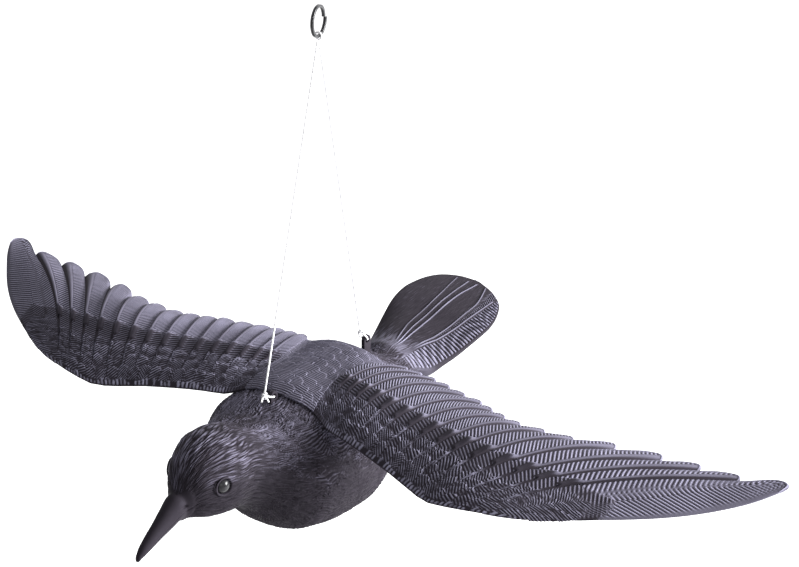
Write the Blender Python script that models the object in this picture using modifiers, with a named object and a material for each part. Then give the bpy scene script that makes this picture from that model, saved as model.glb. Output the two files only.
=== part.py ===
"""A hanging crow bird scarer: a hollow moulded bird, its wings, a string bridle and a split ring.

The bird faces -Y and its left wing lies along +X. The origin is the point inside the top of
the ring where a hook takes the load.
"""

import math

import bmesh
import bpy
import numpy as np
from mathutils import Matrix, Vector

COLLECTION_NAME = "crow_bird_scarer"
CUTTER_COLLECTION_NAME = "cutters"

# Hanging: how far below the hook and behind the bird's reference point the ring hangs
HANG_HEIGHT = 0.2320
BALANCE_SETBACK = 0.0566
CLEARANCE = 0.0003
CUT_OVERRUN = 0.0020

# Body moulding. The head reaches ahead of the shoulders and the back lies behind them
HEAD_REACH = 0.0880
BODY_LENGTH = 0.2100
BACK_LENGTH = BODY_LENGTH - HEAD_REACH
SHOULDER_SHARE = 0.4190
BODY_WIDTH = 0.0950
BODY_DEPTH = 0.0960
BODY_WALL = 0.0016
BODY_SQUARENESS = 2.2
BEAK_LENGTH = 0.0377
BEAK_WIDTH = 0.0170
BEAK_DEPTH = 0.0180
VENT_DIAMETER = 0.0060

# Tail fan
TAIL_LENGTH = 0.1140
TAIL_WIDTH = 0.0700
TAIL_THICKNESS = 0.0046
TAIL_ARCH = 0.0130
TAIL_ARCH_REACH = 0.0300
TAIL_BEND = 0.00225
TAIL_WARP = math.radians(11.0)
TAIL_SQUARENESS = 4.0

# Hanging lugs on the back
LUG_LENGTH = 0.0095
LUG_THICKNESS = 0.0026
LUG_HOLE_DIAMETER = 0.0038
FRONT_LUG_SHARE = 0.4419
FRONT_LUG_HOLE_DROP = 0.0008
FRONT_LUG_ROOT = 0.0110
REAR_LUG_SHARE = 0.9048
REAR_LUG_HOLE_DROP = 0.0030
REAR_LUG_ROOT = 0.0130

# Wing moulding
WING_SPAN = 0.6000
WING_CHORD = 0.1120
WING_DROP = 0.0200
WING_WALL = 0.0018
WING_NOSE_DEPTH = 0.0030
FEATHER_STEP = 0.0010
SHAFT_RISE = 0.0004
COVERT_STEP = 0.0009
COVERT_SCALLOP = 0.0060
SADDLE_GAP = 0.0006
SADDLE_FRONT_SHARE = 0.4686
SADDLE_REAR_SHARE = 0.8190
SADDLE_WIDTH = 0.0520

# Snap pegs under the saddle
PEG_DIAMETER = 0.0050
PEG_LENGTH = 0.0075
PEG_SHARES = (0.5524, 0.7333)

# Eyes
EYE_DIAMETER = 0.0105
EYE_SINK = 0.00436
EYE_SHARE = 0.0967
EYE_LIFT_SHARE = 0.0796
EYE_TURN = math.radians(16.0)
EYE_LID_DIAMETER = 0.0104
EYE_LID_REACH = 0.0034
EYE_LID_RIM = 0.0010

# Split ring
RING_DIAMETER = 0.0196
RING_WIRE_HEIGHT = 0.0017
RING_WIRE_THICKNESS = 0.00095
RING_TURN_GAP = 0.00012
RING_TURNS = 2
RING_YAW = math.radians(13.0)
RING_STEPS_PER_TURN = 36

# String bridle
STRING_DIAMETER = 0.00125
KNOT_LENGTH = 0.0036
KNOT_WIDTH = 0.0028
KNOT_TAIL = 0.0050
WRAP_PITCH = 0.00146
WRAP_POINTS = 25
LOOP_POINTS = 16
STRING_POINTS = 38
STRING_RESOLUTION = 2

# Body stations: along, centre height, half width, rise, fall, as shares of the body's
# length, depth, width, depth and depth, from the face to the rump
BODY_STATION_SHARES = (
    (0.000, -0.335, 0.074, 0.090, 0.104),
    (0.016, -0.306, 0.103, 0.133, 0.133),
    (0.043, -0.265, 0.156, 0.185, 0.196),
    (0.090, -0.252, 0.217, 0.242, 0.248),
    (0.148, -0.233, 0.261, 0.252, 0.294),
    (0.210, -0.244, 0.269, 0.250, 0.308),
    (0.271, -0.294, 0.316, 0.248, 0.354),
    (0.343, -0.344, 0.404, 0.275, 0.473),
    (0.443, -0.379, 0.507, 0.346, 0.577),
    (0.562, -0.433, 0.524, 0.431, 0.583),
    (0.681, -0.448, 0.520, 0.454, 0.588),
    (0.800, -0.383, 0.459, 0.379, 0.525),
    (0.895, -0.323, 0.336, 0.203, 0.406),
    (0.971, -0.304, 0.257, 0.110, 0.250),
)

# Beak stations ahead of the face: along, centre height, half width, rise, fall, as shares of
# the beak's length, the body's depth, the beak's width and the beak's depth
BEAK_STATION_SHARES = (
    (1.000, -0.530, 0.035, 0.030, 0.030),
    (0.930, -0.508, 0.100, 0.095, 0.090),
    (0.750, -0.466, 0.185, 0.190, 0.190),
    (0.500, -0.418, 0.270, 0.300, 0.300),
    (0.250, -0.370, 0.350, 0.400, 0.410),
    (0.080, -0.338, 0.410, 0.450, 0.470),
)

# Tail stations: along, centre height, half width, rise, fall, as shares of the tail's
# length, the body's depth, the tail's width and the tail's thickness
TAIL_STATION_SHARES = (
    (0.070, -0.263, 0.283, 1.348, 2.891),
    (0.158, -0.260, 0.346, 0.891, 1.891),
    (0.272, -0.240, 0.396, 0.652, 1.000),
    (0.377, -0.229, 0.439, 0.533, 0.630),
    (0.500, -0.219, 0.477, 0.500, 0.522),
    (0.623, -0.200, 0.490, 0.489, 0.500),
    (0.737, -0.191, 0.467, 0.478, 0.478),
    (0.833, -0.184, 0.416, 0.467, 0.467),
    (0.904, -0.182, 0.350, 0.457, 0.457),
    (0.947, -0.179, 0.271, 0.435, 0.435),
    (0.982, -0.177, 0.163, 0.391, 0.391),
    (1.000, -0.177, 0.046, 0.304, 0.304),
)

# Flight feathers from the wing tip inwards. Each row is one shaft's places at the leading
# edge, at the covert's end and at the feather's tip: across, as shares of half the span, and
# back, as shares of the chord
FEATHER_SHAFT_SHARES = (
    (0.573, -0.076, 0.713, 0.312, 1.000, 0.918),
    (0.533, -0.116, 0.657, 0.277, 0.895, 0.857),
    (0.493, -0.141, 0.613, 0.259, 0.811, 0.856),
    (0.457, -0.154, 0.568, 0.250, 0.727, 0.843),
    (0.423, -0.160, 0.522, 0.237, 0.635, 0.785),
    (0.393, -0.132, 0.473, 0.232, 0.558, 0.702),
    (0.363, -0.108, 0.427, 0.237, 0.498, 0.676),
    (0.333, -0.090, 0.385, 0.250, 0.445, 0.664),
    (0.303, -0.072, 0.343, 0.268, 0.405, 0.681),
    (0.272, -0.052, 0.303, 0.290, 0.369, 0.708),
    (0.240, -0.029, 0.263, 0.308, 0.333, 0.746),
    (0.207, -0.011, 0.223, 0.321, 0.287, 0.766),
    (0.177, 0.008, 0.187, 0.339, 0.242, 0.794),
    (0.150, 0.030, 0.153, 0.357, 0.203, 0.812),
    (0.127, 0.050, 0.123, 0.375, 0.168, 0.812),
    (0.105, 0.075, 0.097, 0.393, 0.135, 0.800),
)

# Notches between neighbouring tips, from the wing tip inwards, in the same shares
NOTCH_SHARES = (
    (0.906, 0.794),
    (0.822, 0.782),
    (0.743, 0.756),
    (0.649, 0.701),
    (0.568, 0.637),
    (0.508, 0.615),
    (0.455, 0.605),
    (0.414, 0.626),
    (0.376, 0.662),
    (0.340, 0.703),
    (0.295, 0.725),
    (0.250, 0.755),
    (0.210, 0.775),
    (0.175, 0.778),
    (0.141, 0.770),
    (0.110, 0.750),
)

# Heights of the leading edge, the coverts' ends and the tips: across as a share of half the
# span, up as a share of the wing's drop
LEADING_HEIGHT_SHARES = (
    (0.00, -0.10), (0.08, -0.32), (0.13, -0.46), (0.19, -0.48), (0.24, -0.57), (0.31, -0.70),
    (0.36, -0.87), (0.41, -0.96), (0.50, -0.88), (0.60, -0.86), (0.75, -0.90), (0.86, -0.87),
    (0.93, -0.70), (1.00, -0.47),
)
COVERT_HEIGHT_SHARES = (
    (0.00, 0.15), (0.10, 0.17), (0.17, 0.18), (0.26, 0.05), (0.38, -0.04), (0.47, -0.08),
    (0.57, -0.28), (0.71, -0.54), (0.81, -0.86),
)
TIP_HEIGHT_SHARES = (
    (0.00, 0.00), (0.10, -0.22), (0.16, -0.38), (0.24, -0.44), (0.40, -0.46), (0.52, -0.49),
    (0.63, -0.57), (0.73, -0.63), (0.85, -0.58), (1.00, -0.47),
)

# Where the tail's warp, its arched root and its flat blade start and end, as shares of its length
WARP_SHARES = (-0.105, 0.053)
ARCH_SHARES = (-0.193, 0.0, 0.070, 0.491)
BLADE_SHARES = (0.0, 0.340)

# The wing's outer rim, where the first feather runs along the leading edge
RIM_SHARES = (0.593, -0.058, 0.810, 0.299, 0.998, 0.868)
SHAFT_SHARE = 0.22
STEP_SHARE = 0.06
FIRST_SHAFT_SHARE = 0.50
FIRST_TIP_SHARE = 0.12
OUTER_VANE_SHARE = 0.80
FEATHER_COLUMN_SHARES = (0.0, STEP_SHARE, SHAFT_SHARE, 0.62)
FIRST_COLUMN_SHARES = (0.0, FIRST_TIP_SHARE, FIRST_SHAFT_SHARE, 0.75)
SADDLE_COLUMN_SHARES = (0.75, 0.50, 0.25, 0.0)
COVERT_SHARE = 0.42
ROW_SHARES = (0.0, 0.03, 0.09, 0.22, 0.65, 0.85, 1.0)
NOSE_SHARES = ((0.0, 1.0), (0.03, 0.35), (0.09, 0.05), (0.22, 0.0), (1.0, 0.0))
INNER_SCALLOP_SHARE = 0.5

# Ways the knots' cut tails point: across, along and up, as shares of a tail's length
FRONT_TAIL_SHARES = ((0.24, -0.84, -0.48), (0.43, 0.26, -0.86))
REAR_TAIL_SHARES = ((0.55, -0.82, -0.14), (0.86, -0.29, 0.43))

# How fast the beak's sections crowd, the tail bends aside and a feather's tip falls away
BEAK_CROWDING = 1.5
TAIL_BEND_POWER = 1.5
TIP_BULGE_POWER = 1.8

RING_SEGMENTS = 28
BODY_SECTIONS = 30
BEAK_SECTIONS = 8
TAIL_SECTIONS = 16
CORE_SEGMENTS = 16
CORE_SECTIONS = 12
CORE_SHARES = (0.06, 0.93)
VENT_SHARE = 0.8143
EYE_SEGMENTS = 18
EYE_RINGS = 9
KNOT_SEGMENTS = 10
KNOT_RINGS = 6
LID_SEGMENTS = 6
HOLE_SEGMENTS = 16


def bird_point(x, y, z):
    """Turn a place measured from the bird's reference point on its back into world metres."""
    return Vector((x, y - BALANCE_SETBACK, z - HANG_HEIGHT))


def make_collection(name):
    """Make a collection and link it to the scene."""
    collection = bpy.data.collections.new(name)
    bpy.context.scene.collection.children.link(collection)
    return collection


def make_material(name, color, roughness, metallic=0.0):
    """Make a Principled material of one colour."""
    material = bpy.data.materials.new(name)
    material.use_nodes = True
    shader = material.node_tree.nodes["Principled BSDF"]
    shader.inputs["Base Color"].default_value = (*color, 1.0)
    shader.inputs["Roughness"].default_value = roughness
    shader.inputs["Metallic"].default_value = metallic
    return material


def object_from_bmesh(name, shape, collection):
    """Turn a bmesh into an object in a collection, with normals facing out."""
    bmesh.ops.recalc_face_normals(shape, faces=shape.faces)
    mesh = bpy.data.meshes.new(name)
    shape.to_mesh(mesh)
    shape.free()
    item = bpy.data.objects.new(name, mesh)
    collection.objects.link(item)
    return item


def apply_modifier(item, modifier):
    """Apply one modifier to an object."""
    bpy.ops.object.select_all(action="DESELECT")
    item.select_set(True)
    bpy.context.view_layer.objects.active = item
    bpy.ops.object.modifier_apply(modifier=modifier.name)


def join_or_cut(item, tool, operation):
    """Unite an object with a tool, or cut the tool out of it, and remove the tool."""
    modifier = item.modifiers.new(operation.lower(), "BOOLEAN")
    modifier.operation = operation
    modifier.solver = "EXACT"
    modifier.object = tool
    apply_modifier(item, modifier)
    bpy.data.objects.remove(tool, do_unlink=True)


def mesh_from_curve(item, collection):
    """Replace a curve object by a closed mesh object of the same name and place."""
    depsgraph = bpy.context.evaluated_depsgraph_get()
    mesh = bpy.data.meshes.new_from_object(item.evaluated_get(depsgraph))
    shape = bmesh.new()
    shape.from_mesh(mesh)
    bmesh.ops.remove_doubles(shape, verts=shape.verts, dist=CLEARANCE / 100)
    name = item.name
    place = item.matrix_world.copy()
    bpy.data.objects.remove(item, do_unlink=True)
    solid = object_from_bmesh(name, shape, collection)
    solid.matrix_world = place
    bpy.context.view_layer.update()
    return solid


def smooth_curve(knots, values, places):
    """Read a monotone cubic through the knots, so a profile never overshoots its points."""
    knots = np.asarray(knots, float)
    values = np.asarray(values, float)
    places = np.clip(np.asarray(places, float), knots[0], knots[-1])
    steps = np.diff(knots)
    slopes = np.diff(values) / steps
    inner = np.where(slopes[:-1] * slopes[1:] > 0, (slopes[:-1] + slopes[1:]) / 2, 0.0)
    limit = 3 * np.minimum(np.abs(slopes[:-1]), np.abs(slopes[1:]))
    inner = np.clip(inner, -limit, limit)
    ends = np.concatenate([slopes[:1], inner, slopes[-1:]])
    index = np.clip(np.searchsorted(knots, places, side="right") - 1, 0, len(steps) - 1)
    width = steps[index]
    t = (places - knots[index]) / width
    return (values[index] * (1 + 2 * t) * (1 - t) ** 2
            + ends[index] * width * t * (1 - t) ** 2
            + values[index + 1] * t * t * (3 - 2 * t)
            + ends[index + 1] * width * t * t * (t - 1))


def body_place(share):
    """Turn a share of the way from the face to the rump into a y place; the shoulders are at 0."""
    if share < SHOULDER_SHARE:
        return HEAD_REACH * (share / SHOULDER_SHARE - 1)
    return BACK_LENGTH * (share - SHOULDER_SHARE) / (1 - SHOULDER_SHARE)


def body_stations():
    """Return the whole bird's stations, beak to tail, as y, centre, half width, rise, fall."""
    beak = [
        (-HEAD_REACH - along * BEAK_LENGTH, centre * BODY_DEPTH, width * BEAK_WIDTH,
         rise * BEAK_DEPTH, fall * BEAK_DEPTH)
        for along, centre, width, rise, fall in BEAK_STATION_SHARES
    ]
    torso = [
        (body_place(along), centre * BODY_DEPTH, width * BODY_WIDTH,
         rise * BODY_DEPTH, fall * BODY_DEPTH)
        for along, centre, width, rise, fall in BODY_STATION_SHARES
    ]
    tail = [
        (BACK_LENGTH + along * TAIL_LENGTH, centre * BODY_DEPTH, width * TAIL_WIDTH,
         rise * TAIL_THICKNESS, fall * TAIL_THICKNESS)
        for along, centre, width, rise, fall in TAIL_STATION_SHARES
    ]
    return np.array(beak + torso + tail)


def section_places():
    """Return the y places of the loft's sections, close together in the beak and tail tips."""
    ahead = np.linspace(0, 1, BEAK_SECTIONS, endpoint=False) ** BEAK_CROWDING
    beak = -HEAD_REACH - BEAK_LENGTH * (1 - ahead)
    torso = np.linspace(-HEAD_REACH, BACK_LENGTH, BODY_SECTIONS, endpoint=False)
    tail = BACK_LENGTH + TAIL_LENGTH * np.sin(np.linspace(0, math.pi / 2, TAIL_SECTIONS))
    return np.concatenate([beak, torso, tail])


def section_sizes(places):
    """Return centre, half width, rise and fall of the bird's skin at each y place."""
    stations = body_stations()
    return np.stack([smooth_curve(stations[:, 0], stations[:, k], places) for k in range(1, 5)], 1)


def seat_height(x, y):
    """Return the lowest height at which the wings' top clears the back, if it lies over it."""
    centre, width, rise, _ = section_sizes([y])[0]
    lift = SADDLE_GAP + WING_WALL
    across = abs(x) / (width + lift)
    if across >= 1:
        return -math.inf
    return centre + (rise + lift) * (1 - across ** BODY_SQUARENESS) ** (1 / BODY_SQUARENESS)


def ramp(value, start, end):
    """Return 0 before the start, 1 after the end and the share of the way between."""
    return min(max((value - start) / (end - start), 0.0), 1.0)


def tail_form(y):
    """Return the tail's warp, arch, sideways bend and squareness at a place along the bird."""
    along = (y - BACK_LENGTH) / TAIL_LENGTH
    arch = ramp(along, *ARCH_SHARES[:2]) * (1 - ramp(along, *ARCH_SHARES[2:]))
    square = BODY_SQUARENESS + (TAIL_SQUARENESS - BODY_SQUARENESS) * ramp(along, *BLADE_SHARES)
    bend = -TAIL_BEND * max(along, 0.0) ** TAIL_BEND_POWER
    return TAIL_WARP * ramp(along, *WARP_SHARES), TAIL_ARCH * arch, bend, square


def section_ring(y, sizes, segments, inset=0.0):
    """Return one section's points: a squared ellipse with its own rise and fall."""
    centre, width, rise, fall = sizes
    roll, arch, bend, square = tail_form(y)
    power = 2 / square
    points = []
    for step in range(segments):
        angle = math.tau * step / segments
        side, up = math.cos(angle), math.sin(angle)
        height = (rise if up > 0 else fall) - inset
        x = (width - inset) * math.copysign(abs(side) ** power, side)
        z = height * math.copysign(abs(up) ** power, up)
        across = x * math.cos(roll) + z * math.sin(roll)
        drop = x * math.sin(roll) + arch * (across / TAIL_ARCH_REACH) ** 2
        points.append(bird_point(across + bend, y, centre + z - drop))
    return points


def loft(name, rings, collection):
    """Skin a row of rings into a closed solid."""
    shape = bmesh.new()
    loops = [[shape.verts.new(point) for point in ring] for ring in rings]
    count = len(loops[0])
    for near, far in zip(loops, loops[1:]):
        for k in range(count):
            shape.faces.new((near[k], near[(k + 1) % count], far[(k + 1) % count], far[k]))
    shape.faces.new(loops[0])
    shape.faces.new(loops[-1])
    return object_from_bmesh(name, shape, collection)


def make_skin(collection):
    """Loft the bird's outer skin, from the beak's tip to the tail fan's rim."""
    places = section_places()
    sizes = section_sizes(places)
    rings = [section_ring(y, size, RING_SEGMENTS) for y, size in zip(places, sizes)]
    return loft("body_shell", rings, collection)


def make_core(collection):
    """Loft the hollow inside the head and the body, one wall in from the skin."""
    first, last = (body_place(share) for share in CORE_SHARES)
    places = np.linspace(first, last, CORE_SECTIONS)
    sizes = section_sizes(places)
    rings = [section_ring(y, size, CORE_SEGMENTS, BODY_WALL) for y, size in zip(places, sizes)]
    return loft("core", rings, collection)


def make_vent(collection):
    """Make the cutter for the moulding's vent hole under the belly."""
    y = body_place(VENT_SHARE)
    centre, _, _, fall = section_sizes([y])[0]
    shape = bmesh.new()
    bmesh.ops.create_cone(
        shape, cap_ends=True, segments=HOLE_SEGMENTS, radius1=VENT_DIAMETER / 2,
        radius2=VENT_DIAMETER / 2, depth=2 * (BODY_WALL + CUT_OVERRUN),
        matrix=Matrix.Translation(bird_point(0.0, y, centre - fall)))
    return object_from_bmesh("vent", shape, collection)


def make_lug(name, y, hole_drop, root, collection):
    """Make a pinch-off lug: a flat tab with a round top and a string hole."""
    radius = LUG_LENGTH / 2
    outline = [(-radius, -root), (radius, -root)]
    steps = HOLE_SEGMENTS // 2
    outline += [(radius * math.cos(math.pi * k / steps), radius * math.sin(math.pi * k / steps))
                for k in range(steps + 1)]
    hole = [(LUG_HOLE_DIAMETER / 2 * math.cos(math.tau * k / HOLE_SEGMENTS),
             LUG_HOLE_DIAMETER / 2 * math.sin(math.tau * k / HOLE_SEGMENTS))
            for k in range(HOLE_SEGMENTS)]
    curve = bpy.data.curves.new(name, "CURVE")
    curve.dimensions = "2D"
    curve.fill_mode = "BOTH"
    curve.extrude = LUG_THICKNESS / 2
    for points in (outline, hole):
        spline = curve.splines.new("POLY")
        spline.points.add(len(points) - 1)
        for point, (along, up) in zip(spline.points, points):
            point.co = (along, up, 0.0, 1.0)
        spline.use_cyclic_u = True
    item = bpy.data.objects.new(name, curve)
    collection.objects.link(item)
    turn = Matrix(((0, 0, 1), (1, 0, 0), (0, 1, 0))).to_4x4()
    item.matrix_world = Matrix.Translation(bird_point(0.0, y, -hole_drop)) @ turn
    bpy.context.view_layer.update()
    return mesh_from_curve(item, collection)


def eye_centre(side):
    """Return the middle of an eye bead; side is 1 for the left eye and -1 for the right."""
    y = body_place(EYE_SHARE)
    centre, width, rise, _ = section_sizes([y])[0]
    return bird_point(side * (width - EYE_SINK), y, centre + EYE_LIFT_SHARE * rise)


def make_ball(name, centre, radius, collection):
    """Make a sphere at a place."""
    shape = bmesh.new()
    bmesh.ops.create_uvsphere(shape, u_segments=EYE_SEGMENTS, v_segments=EYE_RINGS,
                              radius=radius, matrix=Matrix.Translation(centre))
    return object_from_bmesh(name, shape, collection)


def make_eye_lid(side, collection):
    """Make the raised ring of the eye socket, a torus turned to face out and forwards."""
    way = Vector((side * math.cos(EYE_TURN), -math.sin(EYE_TURN), 0.0))
    bpy.ops.mesh.primitive_torus_add(
        major_segments=EYE_SEGMENTS, minor_segments=LID_SEGMENTS,
        major_radius=EYE_LID_DIAMETER / 2, minor_radius=EYE_LID_RIM,
        location=eye_centre(side) + way * EYE_LID_REACH, rotation=way.to_track_quat("Z", "Y").to_euler())
    item = bpy.context.object
    for owner in list(item.users_collection):
        owner.objects.unlink(item)
    collection.objects.link(item)
    bpy.ops.object.transform_apply(location=True, rotation=True, scale=True)
    return item


def make_peg(y, growth, reach, collection):
    """Make one of the wings' two snap pegs, or with growth the hole that takes it."""
    top = seat_height(0.0, y) - WING_WALL / 2
    shape = bmesh.new()
    bmesh.ops.create_cone(
        shape, cap_ends=True, segments=HOLE_SEGMENTS, radius1=PEG_DIAMETER / 2 + growth,
        radius2=PEG_DIAMETER / 2 + growth, depth=reach,
        matrix=Matrix.Translation(bird_point(0.0, y, top - reach / 2)))
    return object_from_bmesh("peg", shape, collection)


def build_body_shell(collection, cutters, material):
    """Build the hollow moulding: head, beak, trunk and tail with its lugs and eye sockets."""
    shell = make_skin(collection)
    for name, share, drop, root in (
            ("front_lug", FRONT_LUG_SHARE, FRONT_LUG_HOLE_DROP, FRONT_LUG_ROOT),
            ("rear_lug", REAR_LUG_SHARE, REAR_LUG_HOLE_DROP, REAR_LUG_ROOT)):
        join_or_cut(shell, make_lug(name, body_place(share), drop, root, cutters), "UNION")
    for side in (1, -1):
        join_or_cut(shell, make_eye_lid(side, cutters), "UNION")
    core = make_core(cutters)
    for side in (1, -1):
        cup = make_ball("cup", eye_centre(side), EYE_DIAMETER / 2 + CLEARANCE + BODY_WALL, cutters)
        join_or_cut(core, cup, "DIFFERENCE")
    join_or_cut(shell, core, "DIFFERENCE")
    for side in (1, -1):
        socket = make_ball("socket", eye_centre(side), EYE_DIAMETER / 2 + CLEARANCE, cutters)
        join_or_cut(shell, socket, "DIFFERENCE")
    for share in PEG_SHARES:
        hole = make_peg(body_place(share), CLEARANCE, PEG_LENGTH + CUT_OVERRUN, cutters)
        join_or_cut(shell, hole, "DIFFERENCE")
    join_or_cut(shell, make_vent(cutters), "DIFFERENCE")
    shell.data.materials.clear()
    shell.data.materials.append(material)
    return shell


def build_eyes(collection, material):
    """Build the two glossy eye beads."""
    eyes = []
    for name, side in (("left_eye", 1), ("right_eye", -1)):
        eye = make_ball(name, eye_centre(side), EYE_DIAMETER / 2, collection)
        eye.data.materials.append(material)
        eye.data.shade_smooth()
        eyes.append(eye)
    return eyes


def wing_place(across, back, heights):
    """Turn shares of the half span and the chord into a bird place with a height."""
    table = np.array(heights)
    height = smooth_curve(table[:, 0], table[:, 1], [across])[0]
    return np.array([across * WING_SPAN / 2, back * WING_CHORD, height * WING_DROP])


def shaft_line(shares):
    """Return the three places that a feather's shaft runs through."""
    return np.array([
        wing_place(shares[0], shares[1], LEADING_HEIGHT_SHARES),
        wing_place(shares[2], shares[3], COVERT_HEIGHT_SHARES),
        wing_place(shares[4], shares[5], TIP_HEIGHT_SHARES),
    ])


def column_point(line, along):
    """Read the curve through a column's three places."""
    weights = np.array([
        (along - COVERT_SHARE) * (along - 1) / COVERT_SHARE,
        along * (along - 1) / (COVERT_SHARE * (COVERT_SHARE - 1)),
        along * (along - COVERT_SHARE) / (1 - COVERT_SHARE),
    ])
    return weights @ line


def feather_edges():
    """Return the boundary lines between feathers, from the wing's rim to the inner edge."""
    shafts = [shaft_line(shares) for shares in FEATHER_SHAFT_SHARES]
    notches = [wing_place(across, back, TIP_HEIGHT_SHARES) for across, back in NOTCH_SHARES]
    edges = [shaft_line(RIM_SHARES)]
    edges[0][1] = wing_place(RIM_SHARES[2], RIM_SHARES[3], LEADING_HEIGHT_SHARES)
    for outer, inner, notch in zip(shafts, shafts[1:], notches):
        edge = outer + (inner - outer) * OUTER_VANE_SHARE
        edge[2] = notch
        edges.append(edge)
    last = shafts[-1] + (shafts[-1] - shafts[-2]) * OUTER_VANE_SHARE
    last[2] = notches[-1]
    edges.append(last)
    return shafts, edges


def tip_bulge(share, peak):
    """Return how far a rounded feather tip reaches past the line between its notches."""
    if share <= peak:
        return math.sqrt(1 - (1 - share / peak) ** 2)
    return 1 - ((share - peak) / (1 - peak)) ** TIP_BULGE_POWER


def sawtooth(share):
    """Return the height share of a feather across its width, high at its outer edge."""
    if share <= STEP_SHARE:
        return share / STEP_SHARE
    return (1 - share) / (1 - STEP_SHARE)


def feather_column(shaft, outer, inner, share, first):
    """Return one column's line, its relief shares and its scallop share."""
    peak = FIRST_TIP_SHARE if first else SHAFT_SHARE
    line = outer + (inner - outer) * share
    crest = shaft[2] - (outer[2] + (inner[2] - outer[2]) * peak)
    line[2] = line[2] + crest * tip_bulge(share, peak)
    ridge = 1.0 if share == (FIRST_SHAFT_SHARE if first else SHAFT_SHARE) else 0.0
    return line, sawtooth(share), ridge, tip_bulge(share, peak)


def wing_columns():
    """Return every column of the left wing, from its rim to the spine."""
    shafts, edges = feather_edges()
    columns = []
    for k, shaft in enumerate(shafts):
        shares = FIRST_COLUMN_SHARES if k == 0 else FEATHER_COLUMN_SHARES
        for share in shares:
            columns.append(feather_column(shaft, edges[k], edges[k + 1], share, k == 0))
    columns.append((edges[-1], 0.0, 0.0, 0.0))
    columns += [(saddle_line(share, edges[-1]), 0.0, 0.0, 0.0) for share in SADDLE_COLUMN_SHARES]
    return columns


def saddle_line(share, edge):
    """Return a column of the saddle, which follows the back and then joins the wing."""
    front, rear = body_place(SADDLE_FRONT_SHARE), body_place(SADDLE_REAR_SHARE)
    spine = np.array([front, (front + rear) / 2, rear])
    blend = share ** 2
    x = share * edge[:, 0]
    y = spine + (edge[:, 1] - spine) * blend
    seat = np.array([seat_height(across, back) for across, back in zip(x, y)])
    level = np.maximum(edge[:, 2], seat)
    z = np.where(np.isinf(seat), level, seat) * (1 - blend) + level * blend
    return np.stack([x, y, z], 1)


def column_rows(scallop):
    """Return a column's rows: place along it, and whether it lies on the covert's side."""
    step = COVERT_SCALLOP / WING_CHORD
    end = COVERT_SHARE + step * (scallop - INNER_SCALLOP_SHARE)
    rows = [(along, along < COVERT_SHARE) for along in ROW_SHARES]
    edge = [(end, True), (end + COVERT_STEP / WING_CHORD, False)]
    split = sum(1 for along in ROW_SHARES if along < COVERT_SHARE)
    return rows[:split] + edge + rows[split:]


def wing_surface_point(column, along, on_covert):
    """Return a point on the wing's top, with its feather relief."""
    line, tooth, ridge, _ = column
    place = column_point(line, along)
    fade = min(max((along - ROW_SHARES[1]) / ROW_SHARES[3], 0.0), 1.0)
    nose = np.array(NOSE_SHARES)
    drop = WING_NOSE_DEPTH * np.interp(along, nose[:, 0], nose[:, 1])
    relief = (FEATHER_STEP * tooth + SHAFT_RISE * ridge) * fade
    reach = min(place[0] / SADDLE_WIDTH, 1.0)
    relief += COVERT_STEP * reach if on_covert else 0.0
    height = place[2] + relief - drop
    height = max(height, seat_height(place[0], place[1]))
    return bird_point(place[0], place[1], height)


def build_wing_pair(collection, cutters, material):
    """Build the one-piece wings: half a feathered sheet, mirrored, walled and pegged."""
    columns = wing_columns()
    row_count = len(ROW_SHARES) + 2
    shape = bmesh.new()
    bmesh.ops.create_grid(shape, x_segments=row_count - 1, y_segments=len(columns) - 1, size=1.0)
    shape.verts.ensure_lookup_table()
    order = sorted(shape.verts, key=lambda vert: (round(vert.co.y, 4), round(vert.co.x, 4)))
    for index, vert in enumerate(order):
        column = columns[index // row_count]
        along, on_covert = column_rows(column[3])[index % row_count]
        vert.co = wing_surface_point(column, along, on_covert)
        if index // row_count == len(columns) - 1:
            vert.co.x = 0.0
    wings = object_from_bmesh("wing_pair", shape, collection)
    if wings.data.polygons[0].normal.z < 0:
        wings.data.flip_normals()
    mirror = wings.modifiers.new("mirror", "MIRROR")
    mirror.use_axis = (True, False, False)
    mirror.merge_threshold = CLEARANCE / 10
    wall = wings.modifiers.new("wall", "SOLIDIFY")
    wall.thickness = WING_WALL
    wall.offset = -1.0
    apply_modifier(wings, mirror)
    apply_modifier(wings, wall)
    for share in PEG_SHARES:
        join_or_cut(wings, make_peg(body_place(share), 0.0, PEG_LENGTH, cutters), "UNION")
    wings.data.materials.clear()
    wings.data.materials.append(material)
    return wings


def ring_pitch():
    """Return how far the split ring's wire climbs in one turn."""
    return RING_WIRE_THICKNESS + RING_TURN_GAP


def ring_centre():
    """Return the middle of the split ring, which hangs from the origin by its inner top."""
    return Vector((0.0, 0.0, -(RING_DIAMETER / 2 - RING_WIRE_HEIGHT)))


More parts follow.
